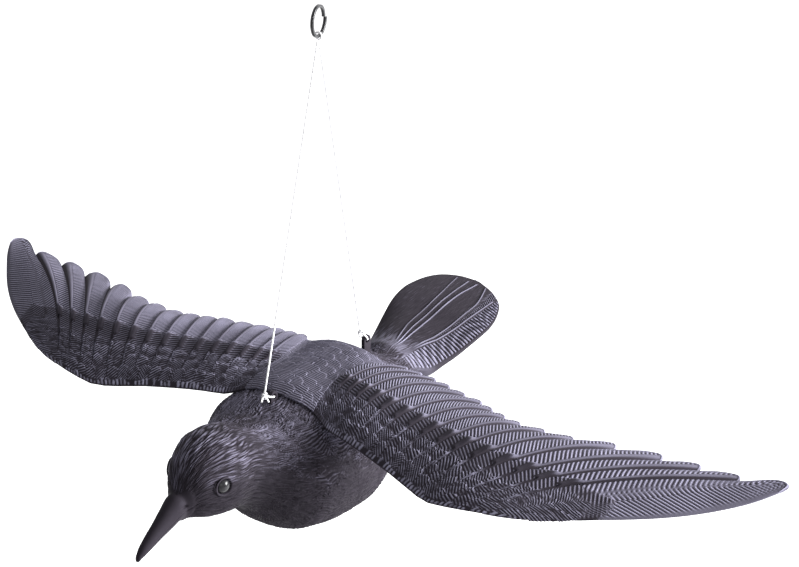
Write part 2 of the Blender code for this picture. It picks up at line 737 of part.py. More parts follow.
def build_hang_ring(collection, material):
    """Build the split ring: a flat wire's profile screwed through two turns."""
    inner = RING_DIAMETER / 2 - RING_WIRE_HEIGHT
    pitch = ring_pitch()
    chamfer = RING_WIRE_THICKNESS / 4
    low = -(pitch * RING_TURNS + RING_WIRE_THICKNESS) / 2
    corners = [
        (inner + chamfer, 0.0), (inner + RING_WIRE_HEIGHT - chamfer, 0.0),
        (inner + RING_WIRE_HEIGHT, chamfer),
        (inner + RING_WIRE_HEIGHT, RING_WIRE_THICKNESS - chamfer),
        (inner + RING_WIRE_HEIGHT - chamfer, RING_WIRE_THICKNESS),
        (inner + chamfer, RING_WIRE_THICKNESS),
        (inner, RING_WIRE_THICKNESS - chamfer), (inner, chamfer),
    ]
    shape = bmesh.new()
    profile = [shape.verts.new((radius, 0.0, low + up)) for radius, up in corners]
    for start, end in zip(profile, profile[1:] + profile[:1]):
        shape.edges.new((start, end))
    ring = object_from_bmesh("hang_ring", shape, collection)
    screw = ring.modifiers.new("turns", "SCREW")
    screw.angle = math.tau * RING_TURNS
    screw.screw_offset = pitch * RING_TURNS
    screw.steps = RING_STEPS_PER_TURN * RING_TURNS
    screw.render_steps = RING_STEPS_PER_TURN * RING_TURNS
    screw.merge_threshold = CLEARANCE / 100
    apply_modifier(ring, screw)
    capped = bmesh.new()
    capped.from_mesh(ring.data)
    bmesh.ops.holes_fill(capped, edges=capped.edges, sides=len(corners))
    bmesh.ops.recalc_face_normals(capped, faces=capped.faces)
    capped.to_mesh(ring.data)
    capped.free()
    stand = Matrix.Rotation(RING_YAW, 4, "Z") @ Matrix.Rotation(math.pi / 2, 4, "Y")
    ends = Matrix.Rotation(math.pi / 2, 4, "Z")
    ring.matrix_world = Matrix.Translation(ring_centre()) @ stand @ ends
    ring.data.materials.append(material)
    return ring


def make_tube(name, points, cyclic, collection):
    """Make a string tube along points, as a closed mesh."""
    curve = bpy.data.curves.new(name, "CURVE")
    curve.dimensions = "3D"
    curve.bevel_depth = STRING_DIAMETER / 2
    curve.bevel_resolution = STRING_RESOLUTION
    curve.use_fill_caps = not cyclic
    spline = curve.splines.new("POLY")
    spline.points.add(len(points) - 1)
    for point, place in zip(spline.points, points):
        point.co = (*place, 1.0)
    spline.use_cyclic_u = cyclic
    item = bpy.data.objects.new(name, curve)
    collection.objects.link(item)
    bpy.context.view_layer.update()
    return mesh_from_curve(item, collection)


def make_knot_ball(name, centre, direction, length, width, collection):
    """Make the bunched middle of a knot, longer along the string than across it."""
    turn = Vector((0.0, 0.0, 1.0)).rotation_difference(direction).to_matrix().to_4x4()
    size = Matrix.Diagonal((width / 2, width / 2, length / 2, 1.0))
    shape = bmesh.new()
    bmesh.ops.create_uvsphere(shape, u_segments=KNOT_SEGMENTS, v_segments=KNOT_RINGS, radius=1.0,
                              matrix=Matrix.Translation(centre) @ turn @ size)
    return object_from_bmesh(name, shape, collection)


def loop_points(start, far, spread):
    """Return a closed loop that leaves a knot, spreads to both sides and turns round a place."""
    reach = far - start
    points = []
    for k in range(LOOP_POINTS):
        angle = math.tau * k / LOOP_POINTS
        along = (1 - math.cos(angle)) / 2
        points.append(start + reach * along + Vector((spread * math.sin(angle), 0.0, 0.0)))
    return points


def wrap_radius():
    """Return the radius of the string's turn round the ring's doubled wire, free to swing."""
    side = (ring_pitch() * RING_TURNS + RING_WIRE_THICKNESS) / 2 - ring_pitch() / 4
    corner = math.hypot(side, RING_WIRE_HEIGHT / 2 - RING_WIRE_THICKNESS / 4)
    return corner + CLEARANCE / 3 + STRING_DIAMETER / 2


def bridle_points():
    """Return the middle of the ring's wire at its foot, and the knots at the two lugs."""
    top = ring_centre() - Vector((0.0, 0.0, (RING_DIAMETER - RING_WIRE_HEIGHT) / 2))
    radius = LUG_LENGTH / 2
    front_y, rear_y = body_place(FRONT_LUG_SHARE), body_place(REAR_LUG_SHARE)
    front = bird_point(0.0, front_y - radius - KNOT_LENGTH, LUG_LENGTH / 3)
    rear = bird_point(0.0, rear_y - radius - KNOT_WIDTH / 2, LUG_LENGTH / 2)
    return top, front, rear


def build_lug_knot(name, knot, hole, tails, collection, material):
    """Build a knot at a lug: the bunched knot, its loop through the hole and two short tails."""
    top = bridle_points()[0]
    direction = (top - knot).normalized()
    item = make_knot_ball(name, knot, direction, KNOT_LENGTH, KNOT_WIDTH, collection)
    spread = LUG_THICKNESS / 2 + STRING_DIAMETER / 2 + 2 * CLEARANCE
    join_or_cut(item, make_tube("loop", loop_points(knot, hole, spread), True, collection), "UNION")
    for tail in tails:
        end = knot + Vector(tail) * KNOT_TAIL
        join_or_cut(item, make_tube("tail", [knot, (knot + end) / 2, end], False, collection),
                    "UNION")
    item.data.materials.append(material)
    return item


def build_ring_knot(collection, material):
    """Build the string's turn round the ring's wire, with its two ends side by side below."""
    middle = bridle_points()[0]
    along = Matrix.Rotation(RING_YAW, 3, "Z") @ Vector((0.0, 1.0, 0.0))
    across = Matrix.Rotation(RING_YAW, 3, "Z") @ Vector((1.0, 0.0, 0.0))
    points = []
    for k in range(WRAP_POINTS):
        share = k / (WRAP_POINTS - 1)
        angle = math.tau * share - math.pi / 2
        turn = across * math.cos(angle) + Vector((0.0, 0.0, math.sin(angle)))
        points.append(middle + turn * wrap_radius() + along * WRAP_PITCH * (share - 1 / 2))
    item = make_tube("ring_knot", points, False, collection)
    item.data.materials.append(material)
    return item


def build_strand(name, start, end, collection, material):
    """Build a taut strand of the bridle, from under the ring to a knot at a lug."""
    way = (end - start).normalized()
    first = start + way * (wrap_radius() + STRING_DIAMETER / 2 + 2 * CLEARANCE)
    last = end - way * (KNOT_LENGTH / 2 + CLEARANCE)
    points = [first.lerp(last, k / (STRING_POINTS - 1)) for k in range(STRING_POINTS)]
    item = make_tube(name, points, False, collection)
    item.data.materials.append(material)
    return item


def make_pivot(name, place, parent):
    """Make an empty on a joint's axis, carried by another empty."""
    pivot = bpy.data.objects.new(name, None)
    bpy.context.scene.collection.objects.link(pivot)
    pivot.location = place
    if parent is not None:
        pivot.parent = parent
        pivot.matrix_parent_inverse = parent.matrix_world.inverted()
    bpy.context.view_layer.update()
    return pivot


def hang_on(items, pivot):
    """Parent pieces to a pivot without moving them."""
    for item in items:
        item.parent = pivot
        item.matrix_parent_inverse = pivot.matrix_world.inverted()


def main():
    """Build the whole bird scarer."""
    for item in list(bpy.data.objects):
        bpy.data.objects.remove(item, do_unlink=True)
    parts = make_collection(COLLECTION_NAME)
    cutters = make_collection(CUTTER_COLLECTION_NAME)
    black = make_material("black_plastic", (0.034, 0.031, 0.038), 0.48)
    gloss = make_material("eye_gloss", (0.012, 0.012, 0.013), 0.08)
    coated = make_material("ring_coating", (0.010, 0.010, 0.012), 0.32)
    string = make_material("white_string", (0.86, 0.86, 0.88), 0.80)

    shell = build_body_shell(parts, cutters, black)
    eyes = build_eyes(parts, gloss)
    wings = build_wing_pair(parts, cutters, black)
    ring = build_hang_ring(parts, coated)

    top, front, rear = bridle_points()
    front_hole = bird_point(0.0, body_place(FRONT_LUG_SHARE), -FRONT_LUG_HOLE_DROP)
    rear_hole = bird_point(0.0, body_place(REAR_LUG_SHARE), -REAR_LUG_HOLE_DROP)
    ring_knot = build_ring_knot(parts, string)
    front_knot = build_lug_knot(
        "front_knot", front, front_hole, FRONT_TAIL_SHARES, parts, string)
    rear_knot = build_lug_knot("rear_knot", rear, rear_hole, REAR_TAIL_SHARES, parts, string)
    front_strand = build_strand("front_strand", top, front, parts, string)
    rear_strand = build_strand("rear_strand", top, rear, parts, string)

    swing = make_pivot("swing_pivot", top, None)
    turn = make_pivot("turn_pivot", top, swing)
    roll = make_pivot("roll_pivot", front, turn)
    hang_on([ring_knot], swing)
    hang_on([front_strand, rear_strand], turn)
    hang_on([shell, wings, front_knot, rear_knot] + eyes, roll)
    for item in (shell, wings):
        item.data.shade_smooth()
        item.data.set_sharp_from_angle(angle=math.radians(35))
    ring.data.shade_smooth()


if __name__ == "__main__":
    main()
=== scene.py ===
"""Looks of a hanging crow bird scarer: a stroked body, feathered wings, a string bridle and a ring.

The bird faces -Y with its left wing along +X, and hangs under the origin, where a hook holds the
ring. Places written in the bird's own measure start at the point between its shoulders.
"""

import logging
import math
from dataclasses import dataclass, fields
from enum import Enum
from typing import Any, Callable, Iterable, Optional, Sequence, Union

import bmesh
import bpy
import numpy as np
from mathutils import Matrix, Vector


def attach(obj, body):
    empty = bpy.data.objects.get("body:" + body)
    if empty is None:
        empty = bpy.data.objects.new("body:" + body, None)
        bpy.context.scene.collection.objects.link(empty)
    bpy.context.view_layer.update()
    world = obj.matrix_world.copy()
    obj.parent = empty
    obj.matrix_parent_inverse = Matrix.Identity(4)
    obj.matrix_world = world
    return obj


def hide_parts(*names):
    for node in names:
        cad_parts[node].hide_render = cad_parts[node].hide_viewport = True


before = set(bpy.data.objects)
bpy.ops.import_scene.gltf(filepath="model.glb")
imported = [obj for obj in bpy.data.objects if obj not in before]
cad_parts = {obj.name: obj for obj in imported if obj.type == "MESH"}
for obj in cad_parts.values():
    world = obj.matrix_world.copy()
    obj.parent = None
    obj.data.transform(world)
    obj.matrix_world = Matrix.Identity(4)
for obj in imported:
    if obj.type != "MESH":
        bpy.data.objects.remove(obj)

LOG = logging.getLogger("crow_bird_scarer")
Array = np.ndarray
Colour = tuple[float, float, float, float]
Range = tuple[float, float]
Value = Union[float, "Signal"]
Sockets = dict[Union[int, str], Any]
Item = bpy.types.Object
Material = bpy.types.Material
Socket = bpy.types.NodeSocket
EditMesh = bmesh.types.BMesh

PHOTO_WIDTH = 799
BALANCE_SETBACK = 0.0566
HANG_HEIGHT = 0.2320
MERGE = 0.000001


def to_world(points: Array) -> Array:
    """Turn places in the bird's own measure into world metres."""
    return np.asarray(points, float) - np.array([0.0, BALANCE_SETBACK, HANG_HEIGHT])


def smooth_curve(knots: Array, values: Array, places: Array) -> Array:
    """Read a monotone cubic through knots.

    Args:
        knots: rising places of the known values.
        values: the known values.
        places: where to read the curve, of any shape.

    Returns:
        The values at the places.
    """
    knots = np.asarray(knots, float)
    values = np.asarray(values, float)
    places = np.clip(np.asarray(places, float), knots[0], knots[-1])
    steps = np.diff(knots)
    slopes = np.diff(values) / steps
    inner = np.where(slopes[:-1] * slopes[1:] > 0, (slopes[:-1] + slopes[1:]) / 2, 0.0)
    limit = 3 * np.minimum(np.abs(slopes[:-1]), np.abs(slopes[1:]))
    inner = np.clip(inner, -limit, limit)
    ends = np.concatenate([slopes[:1], inner, slopes[-1:]])
    index = np.clip(np.searchsorted(knots, places, side="right") - 1, 0, len(steps) - 1)
    width = steps[index]
    t = (places - knots[index]) / width
    return (values[index] * (1 + 2 * t) * (1 - t) ** 2 + ends[index] * width * t * (1 - t) ** 2
            + values[index + 1] * t * t * (3 - 2 * t) + ends[index + 1] * width * t * t * (t - 1))


def straight_ramp(value: Array, start: float, end: float) -> Array:
    """Return 0 before the start, 1 after the end and a straight rise between."""
    return np.clip((np.asarray(value, float) - start) / (end - start), 0.0, 1.0)


def ramp(value: Array, start: float, end: float) -> Array:
    """Return 0 before the start, 1 after the end and a smooth rise between."""
    t = straight_ramp(value, start, end)
    return t * t * (3 - 2 * t)


def spread(ends: Range, share: Array) -> Array:
    """Return the first number of a pair with a share of the second added."""
    return ends[0] + ends[1] * share


def wave(turns: Array) -> Array:
    """Return a smooth wave from 1 at whole turns to 0 at the halves."""
    return 0.5 + 0.5 * np.cos(math.tau * turns)


def arch(place: Array) -> Array:
    """Return a half circle's height over places from -1 to 1, and 0 beyond them."""
    return np.sqrt(np.clip(1 - place ** 2, 0, 1))


def eased_ramp(value: Array, start: float, end: float, corner: float = 0.15) -> Array:
    """Rise straight from 0 to 1 between two places, with both corners rounded."""
    share = (np.asarray(value, float) - start) / (end - start)

    def bend(s: Array) -> Array:
        """Turn up from flat to straight round a corner at 0."""
        return np.where(s > corner, s, np.clip(s + corner, 0.0, None) ** 2 / (4 * corner))
    return bend(share) - bend(share - 1)


def chance(i: Array, j: Array, seed: int) -> Array:
    """Return a fixed random share for each whole-numbered cell."""
    mixed = (i.astype(np.int64) * 374761393 + j.astype(np.int64) * 668265263 + seed * 2246822519)
    mixed = (mixed ^ (mixed >> 13)) & 0x7FFFFFFF
    mixed = (mixed * 1274126177) & 0x7FFFFFFF
    return ((mixed ^ (mixed >> 16)) & 0xFFFFFF) / float(0xFFFFFF)


def cloud(u: Array, v: Array, seed: int) -> Array:
    """Return soft noise from 0 to 1 over two coordinates."""
    i, j = np.floor(u), np.floor(v)
    a, b = u - i, v - j
    a, b = a * a * (3 - 2 * a), b * b * (3 - 2 * b)
    low = chance(i, j, seed) * (1 - a) + chance(i + 1, j, seed) * a
    high = chance(i, j + 1, seed) * (1 - a) + chance(i + 1, j + 1, seed) * a
    return low * (1 - b) + high * b


@dataclass(frozen=True)
class Drift:
    """Soft wandering of a pattern over a surface."""

    width: float
    length: float
    seed: int
    size: float

    def move(self, across: Array, along: Array) -> Array:
        """Return how far the pattern is moved at each place."""
        return (cloud(across / self.width, along / self.length, self.seed) - 0.5) * self.size


@dataclass(frozen=True)
class Strokes:
    """Carved strokes that run along a surface, like the barbs of small body feathers."""

    width: float
    length: float
    turn: float
    bow: float
    seed: int

    def relief(self, across: Array, along: Array) -> Array:
        """Return the strokes' height share.

        Args:
            across: distance across the strokes' run, in metres.
            along: distance along their run, in metres.

        Returns:
            0 between strokes and 1 on the crest of one.
        """
        u, v = across / self.width, along / self.length
        column = np.floor(u)
        best = np.zeros(np.shape(u))
        for side in (-1, 0, 1):
            i = column + side
            lift = v + chance(i, np.zeros_like(i), self.seed) * 3.0
            row = np.floor(lift)
            for step in (-1, 0, 1):
                j = row + step
                luck = [chance(i, j, self.seed + number) for number in range(1, 6)]
                off_u = u - (i + 0.5 + (luck[0] - 0.5) * 0.7)
                off_v = lift - (j + 0.5 + (luck[1] - 0.5) * 0.5)
                lean = (luck[2] - 0.5) * 2 * self.turn
                run = off_v / (0.55 + 0.35 * luck[3])
                side_step = off_u - lean * off_v - self.bow * off_v ** 2
                stroke = np.clip(1 - (side_step / 0.62) ** 2, 0, 1)
                stroke = stroke * np.clip(1 - run * run, 0, 1)
                best = np.maximum(best, stroke * (0.65 + 0.35 * luck[4]))
        return best


@dataclass(frozen=True)
class Tufts:
    """Small overlapping body feathers, each with its own run of barbs."""

    width: float
    length: float
    barb: float
    turn: float
    seed: int

    def relief(self, across: Array, along: Array) -> Array:
        """Return the feathers' height share over distances across and along their run."""
        u, v = across / self.width, along / self.length
        best = np.zeros(np.shape(u))
        for back in (1, 0):
            row = np.floor(v) - back
            shifted = u + 0.5 * (row % 2) + 0.35 * (chance(row, row, self.seed) - 0.5)
            cell = np.floor(shifted)
            x = 2 * (shifted - cell) - 1
            run = v - row
            luck, turned, bent = (chance(cell, row, self.seed + number) for number in (1, 2, 3))
            end = 1.0 + (0.45 + 0.5 * luck) * arch(x)
            lean = (turned - 0.5) * 2 * self.turn
            bow = 0.35 * x + (bent - 0.5) * 0.8
            slant = x * self.width / 2 + (lean * run + bow * run * run) * self.length * 0.5
            barbs = wave(slant / self.barb) * (0.6 + 0.4 * luck)
            shell = 0.12 + 0.33 * run / end + 0.55 * barbs
            best = np.where((run < end) & (shell > best - 0.35 * (1 - back)), shell, best)
        return best


@dataclass(frozen=True)
class Shingles:
    """Rows of overlapping scale feathers whose barbs lean away from a middle line."""

    width: float
    length: float
    barb: float
    lean: float
    barb_rest: float = 0.4

    def relief(self, across: Array, along: Array) -> tuple[Array, Array, Array]:
        """Return the scales' height, their barbs and their lit rims, each from 0 to 1.

        Args:
            across: places across the rows of scales.
            along: places from the front row backwards.
        """
        row = np.floor(along / self.length)

        def scale(number: Array) -> tuple[Array, ...]:
            """Return side, distance from the root, reach and luck of one row's scales."""
            shift = 0.5 * np.mod(number, 2) + 0.12 * chance(number, 0 * number, 3)
            column = across / self.width + shift
            side = 2 * np.mod(column, 1.0) - 1
            luck = chance(np.floor(column), number, 11)
            reach = self.length * (1 + 0.50 * arch(side) + 0.25 * (luck - 0.5))
            return side, along - number * self.length, reach, luck
        under, over = scale(row), scale(row - 1)
        covered = over[1] < over[2]
        side, root, reach, luck = (np.where(covered, a, b) for a, b in zip(over, under))
        lean = self.lean * (0.6 + 0.8 * luck)
        barbs = wave((root - lean * side * self.width / 2) / self.barb + 0.8 * luck)
        patches = cloud(across / 0.0036, along / 0.0022, 23)
        wear_and_sheen = np.clip(1.6 * patches + 0.1, 0.2, 1.15)
        sides = ramp(np.abs(side), 0.80, 1.0)
        barbs = self.barb_rest + (barbs - self.barb_rest) * wear_and_sheen * (1 - sides)
        rim = 1 - ramp(reach - root, 0.0004, 0.0010)
        return np.clip(root / reach, 0, 1), barbs, rim


def deselect() -> None:
    """Leave nothing selected."""
    bpy.ops.object.select_all(action="DESELECT")


def pick(item: Item) -> None:
    """Select one object alone and make it active."""
    deselect()
    item.select_set(True)
    bpy.context.view_layer.objects.active = item


def rename(name: str) -> Item:
    """Name the object that an operator has just added, and its mesh, and return it."""
    item = bpy.context.object
    item.name = name
    item.data.name = name
    return item


def apply_all(item: Item) -> None:
    """Apply every modifier of an object in order."""
    pick(item)
    for modifier in list(item.modifiers):
        bpy.ops.object.modifier_apply(modifier=modifier.name)


def settle(item: Item) -> None:
    """Write an object's place, turn and size into its mesh."""
    pick(item)
    bpy.ops.object.transform_apply(location=True, rotation=True, scale=True)


def add_modifier(item: Item, kind: str, **settings: Any) -> bpy.types.Modifier:
    """Add a modifier and set its fields."""
    modifier = item.modifiers.new(kind.lower(), kind)
    for key, value in settings.items():
        setattr(modifier, key, value)
    return modifier


def dress(item: Item, finish: Material, angle: float = 40.0) -> None:
    """Shade a piece smooth, with its sharp edges kept, and give it its finish.

    Args:
        item: the piece.
        finish: its only material.
        angle: the turn in degrees from which an edge stays sharp.
    """
    pick(item)
    bpy.ops.object.shade_smooth_by_angle(angle=math.radians(angle))
    item.data.materials.append(finish)


def face_outwards() -> None:
    """Turn all faces of the mesh in edit mode outwards."""
    bpy.ops.mesh.select_all(action="SELECT")
    bpy.ops.mesh.normals_make_consistent(inside=False)


def in_edit_mode(item: Item, work: Callable[[EditMesh], None]) -> None:
    """Run selections and operators on an object in edit mode.

    Args:
        item: the object to work on.
        work: takes the edit mesh, selects in it and calls operators.
    """
    pick(item)
    bpy.ops.object.mode_set(mode="EDIT")
    bpy.ops.mesh.select_all(action="DESELECT")
    work(bmesh.from_edit_mesh(item.data))
    bpy.ops.object.mode_set(mode="OBJECT")


def net(name: str, points: Array, maps: dict[str, Array],
        marks: dict[str, Array]) -> Item:
    """Shape a grid into a surface.

    Args:
        name: the object's name.
        points: places by row and column, in world metres.
        maps: named UV places by row and column.
        marks: named numbers that the finish reads, by row and column.

    Returns:
        The grid's object, with its rows along V.
    """
    rows, columns = points.shape[:2]
    deselect()
    bpy.ops.mesh.primitive_grid_add(x_subdivisions=columns - 1, y_subdivisions=rows - 1, size=2.0)
    item = rename(name)
    mesh = item.data
    count = len(mesh.vertices)
    flat = np.empty(count * 3)
    mesh.vertices.foreach_get("co", flat)
    flat = flat.reshape(count, 3)
    order = np.lexsort((np.round(flat[:, 0], 5), np.round(flat[:, 1], 5)))
    placed = np.empty((count, 3))
    placed[order] = points.reshape(-1, 3)
    mesh.vertices.foreach_set("co", placed.ravel())
    loops = np.empty(len(mesh.loops), int)
    mesh.loops.foreach_get("vertex_index", loops)
    for key, values in maps.items():
        layer = mesh.uv_layers.new(name=key)
        spread = np.empty((count, 2))
        spread[order] = values.reshape(-1, 2)
        layer.data.foreach_set("uv", spread[loops].ravel())
    for key, values in marks.items():
        shares = np.empty(count)
        shares[order] = values.reshape(-1)
        layer = mesh.attributes.new(key, "FLOAT", "POINT")
        layer.data.foreach_set("value", shares.astype(np.float32))
    mesh.update()
    return item


def mark_relief(item: Item, value: float) -> None:
    """Give a plain piece one value of the relief attribute that its plastic reads."""
    item.data.attributes.new("relief", "FLOAT", "POINT").data.foreach_set(
        "value", np.full(len(item.data.vertices), value, np.float32))


def close_tube(item: Item) -> None:
    """Weld a rolled net along its seam, close its ends and turn its faces outwards."""
    def work(_: EditMesh) -> None:
        """Weld, cap and turn the net."""
        bpy.ops.mesh.select_all(action="SELECT")
        bpy.ops.mesh.remove_doubles(threshold=MERGE)
        bpy.ops.mesh.select_all(action="DESELECT")
        bpy.ops.mesh.select_non_manifold(extend=False)
        bpy.ops.mesh.fill_holes(sides=0)
        face_outwards()
    in_edit_mode(item, work)


def surface_normals(points: Array) -> Array:
    """Return unit normals of a rolled net, outwards where its columns turn anticlockwise."""
    ring = np.concatenate([points[:, -2:-1], points, points[:, 1:2]], 1)
    normal = np.cross((ring[:, 2:] - ring[:, :-2]) / 2, np.gradient(points, axis=0))
    return normal / np.maximum(np.linalg.norm(normal, axis=2, keepdims=True), 1e-12)


def tube_along(name: str, path: Array, section: Callable[[int], Array],
               crests: Callable[[int], Array]) -> Item:
    """Sweep a closed section along a path.

    Args:
        name: the object's name.
        path: points in world metres.
        section: returns the section's places, across and up, at one point of the path.
        crests: returns the section's height shares at one point of the path.

    Returns:
        The closed tube.
    """
    path = np.asarray(path, float)
    tangents = np.gradient(path, axis=0)
    tangents /= np.linalg.norm(tangents, axis=1, keepdims=True)
    upright = abs(tangents[0][2]) >= 0.9
    side = np.cross(tangents[0], (1.0, 0.0, 0.0) if upright else (0.0, 0.0, 1.0))
    rings, shares = [], []
    for k, (point, tangent) in enumerate(zip(path, tangents)):
        side = side - tangent * side.dot(tangent)
        side = side / np.linalg.norm(side)
        up = np.cross(tangent, side)
        places = section(k)
        rings.append(point + places[:, :1] * side + places[:, 1:] * up)
        shares.append(crests(k))
    points, values = np.stack(rings), np.stack(shares)
    points = np.concatenate([points, points[:, :1]], 1)
    values = np.concatenate([values, values[:, :1]], 1)
    item = net(name, points, {}, {"relief": values})
    close_tube(item)
    return item


def joining(operation: str, reflected: bool = False) -> Callable[["Signal", Value], "Signal"]:
    """Return an operator's method, which joins a signal and a value in a Math node."""
    def method(signal: "Signal", other: Value) -> "Signal":
        """Join the two in the order in which the expression has them."""
        first, second = (other, signal) if reflected else (signal, other)
        return signal.joined(operation, first, second)
    return method


class Signal:
    """A shader socket that takes part in sums, so that an expression adds its Math nodes."""

    __add__, __radd__ = joining("ADD"), joining("ADD", True)
    __sub__, __rsub__ = joining("SUBTRACT"), joining("SUBTRACT", True)
    __mul__, __rmul__ = joining("MULTIPLY"), joining("MULTIPLY", True)

    def __init__(self, board: "Board", socket: Socket) -> None:
        """Wrap a socket of a board."""
        self.board = board
        self.socket = socket

    def joined(self, operation: str, first: Value, second: Value = 0.0) -> "Signal":
        """Join two values in a Math node."""
        node = self.board.node("ShaderNodeMath", {"operation": operation}, {0: first, 1: second})
        return Signal(self.board, node.outputs[0])

    def __abs__(self) -> "Signal":
        """Return the size without its sign."""
        return self.joined("ABSOLUTE", self)

    def fraction(self) -> "Signal":
        """Return the part after the point."""
        return self.joined("FRACT", self)

    def clamped(self) -> "Signal":
        """Return the value kept from 0 to 1."""
        return self.joined("MINIMUM", self.joined("MAXIMUM", self), 1.0)


class Board:
    """The node tree of one material or world."""

    def __init__(self, owner: Union[Material, bpy.types.World]) -> None:
        """Start an empty tree."""
        self.owner = owner
        owner.use_nodes = True
        self.tree = owner.node_tree
        self.tree.nodes.clear()

    def node(self, kind: str, settings: Optional[dict[str, Any]] = None,
             sockets: Optional[Sockets] = None) -> bpy.types.Node:
        """Add a node.

        Args:
            kind: the node's type.
            settings: its fields, set before its sockets.
            sockets: values, signals or sockets, by the input's name or number.

        Returns:
            The node.
        """
        node = self.tree.nodes.new(kind)
        for key, value in (settings or {}).items():
            setattr(node, key, value)
        for key, value in (sockets or {}).items():
            value = value.socket if isinstance(value, Signal) else value
            if isinstance(value, Socket):
                self.tree.links.new(value, node.inputs[key])
            else:
                node.inputs[key].default_value = value
        return node

    def place(self) -> Socket:
        """Return places in the piece's own coordinates."""
        return self.node("ShaderNodeTexCoord").outputs["Object"]

    def mark(self, name: str) -> Signal:
        """Read one of the numbers that a piece carries over its surface."""
        node = self.node("ShaderNodeAttribute", {"attribute_name": name})
        return Signal(self, node.outputs["Fac"])

    def map(self, name: str) -> Socket:
        """Read one of a piece's UV maps."""
        return self.node("ShaderNodeUVMap", {"uv_map": name}).outputs[0]

    def mix(self, factor: Value, first: Any, second: Any) -> Socket:
        """Blend two colours."""
        node = self.node("ShaderNodeMix", {"data_type": "RGBA"}, {0: factor, 6: first, 7: second})
        return node.outputs[2]

    def noise(self, vector: Any, scale: float, detail: float = 2.0) -> Signal:
        """Add a noise texture and return its height."""
        node = self.node("ShaderNodeTexNoise", None,
                         {"Vector": vector, "Scale": scale, "Detail": detail})
        return Signal(self, node.outputs[0])

    def bump(self, height: Signal, distance: float) -> Socket:
        """Turn a height signal into a normal."""
        node = self.node("ShaderNodeBump", None, {
            "Strength": 1.0, "Distance": distance, "Height": height})
        return node.outputs[0]

    def finish(self, **sockets: Any) -> Material:
        """Close the material with a Principled shader and return it."""
        named = {key.replace("_", " "): value for key, value in sockets.items()}
        shader = self.node("ShaderNodeBsdfPrincipled", None, named)
        self.node("ShaderNodeOutputMaterial", None, {0: shader.outputs[0]})
        return self.owner


@dataclass(frozen=True)
class MouldedPlastic:
    """Black moulded plastic: a violet-grey satin skin with painted shade in its grooves, a painted
    lilac sheen on its crests and a fine mould grain.
    """

    name: str = "moulded_plastic"
    # The first colour is painted shade for the grooves, and the third is a painted lilac sheen for
    # the crests.
    groove_shade: Colour = (0.0150, 0.0130, 0.0165, 1.0)
    skin: Colour = (0.0480, 0.0420, 0.0540, 1.0)
    wear_and_sheen: Colour = (0.3050, 0.2950, 0.4000, 1.0)
    wear_and_sheen_start: float = 0.42
    wear_and_sheen_gain: float = 1.5
    sheen_patches: Range = (0.55, 0.9)
    patch_scale: float = 45.0
    roughness: float = 0.54
    patch_roughness: float = 0.16
    crest_polish: float = 0.22
    gloss: float = 0.02
    gloss_tint: Colour = (0.74, 0.76, 1.0, 1.0)
    grain: float = 0.00005
    grain_scale: float = 900.0
    barb_height: float = 0.00012
    streak_height: float = 0.00030
    streak_tone: float = 0.26
    streak_contrast: float = 3.2
    streak_scale: tuple[float, float, float] = (1000.0, 150.0, 1.0)
    barbs: bool = False
    streaks: bool = False

    def build(self) -> Material:
        """Return the material."""
        board = Board(bpy.data.materials.new(self.name))
        place = board.place()
        mottle = board.noise(place, self.patch_scale, 3.0)
        crest = board.mark("relief")
        height = board.noise(place, self.grain_scale) * self.grain
        if self.barbs:
            height = height + self._barb_height(board)
        if self.streaks:
            plumage = board.mark("plumage")
            streak = self._streaks(board)
            height = height + streak * plumage * self.streak_height
            crest = crest + (streak - 0.5) * plumage * self.streak_tone
        # The colour runs, by the relief attribute, from painted groove shade through the plain skin
        # to a painted sheen on the crests.
        base = board.mix(crest.clamped(), self.groove_shade, self.skin)
        wear_and_sheen_share = ((crest - self.wear_and_sheen_start) * self.wear_and_sheen_gain).clamped()
        lift = wear_and_sheen_share * (self.sheen_patches[0] + mottle * self.sheen_patches[1])
        colour = board.mix(lift.clamped(), base, self.wear_and_sheen)
        rough = (self.roughness + (mottle - 0.5) * self.patch_roughness
                 - crest * self.crest_polish)
        return board.finish(Base_Color=colour, Roughness=rough, Specular_IOR_Level=self.gloss,
                            Specular_Tint=self.gloss_tint, Normal=board.bump(height, 1.0))

    def _barb_height(self, board: Board) -> Signal:
        """Return the height of the feather barbs, from the piece's feather map."""
        parts = board.node("ShaderNodeSeparateXYZ", None, {0: board.map("feather")})
        phase, strength = Signal(board, parts.outputs[0]), Signal(board, parts.outputs[1])
        ridge = abs(phase.fraction() - 0.5) * 2.0
        return ridge * ridge * strength * self.barb_height

    def _streaks(self, board: Board) -> Signal:
        """Return fine strokes that follow the piece's flow map, from 0 to 1."""
        stretched = board.node("ShaderNodeMapping", None, {
            "Vector": board.map("flow"), "Scale": self.streak_scale}).outputs[0]
        return ((board.noise(stretched, 1.0) - 0.5) * self.streak_contrast + 0.5).clamped()


@dataclass(frozen=True)
class GlossBead:
    """Polished black bead of an eye."""

    name: str = "gloss_bead"
    colour: Colour = (0.008, 0.008, 0.009, 1.0)
    haze_colour: Colour = (0.016, 0.015, 0.018, 1.0)
    haze_scale: float = 500.0
    haze_height: float = 0.00002
    roughness: Range = (0.16, 0.12)
    gloss: float = 0.22

    def build(self) -> Material:
        """Return the material."""
        board = Board(bpy.data.materials.new(self.name))
        haze = board.noise(board.place(), self.haze_scale)
        tint = board.mix(haze, self.colour, self.haze_colour)
        rough = self.roughness[0] + haze * self.roughness[1]
        return board.finish(Base_Color=tint, Roughness=rough, Specular_IOR_Level=self.gloss,
                            Normal=board.bump(haze, self.haze_height))


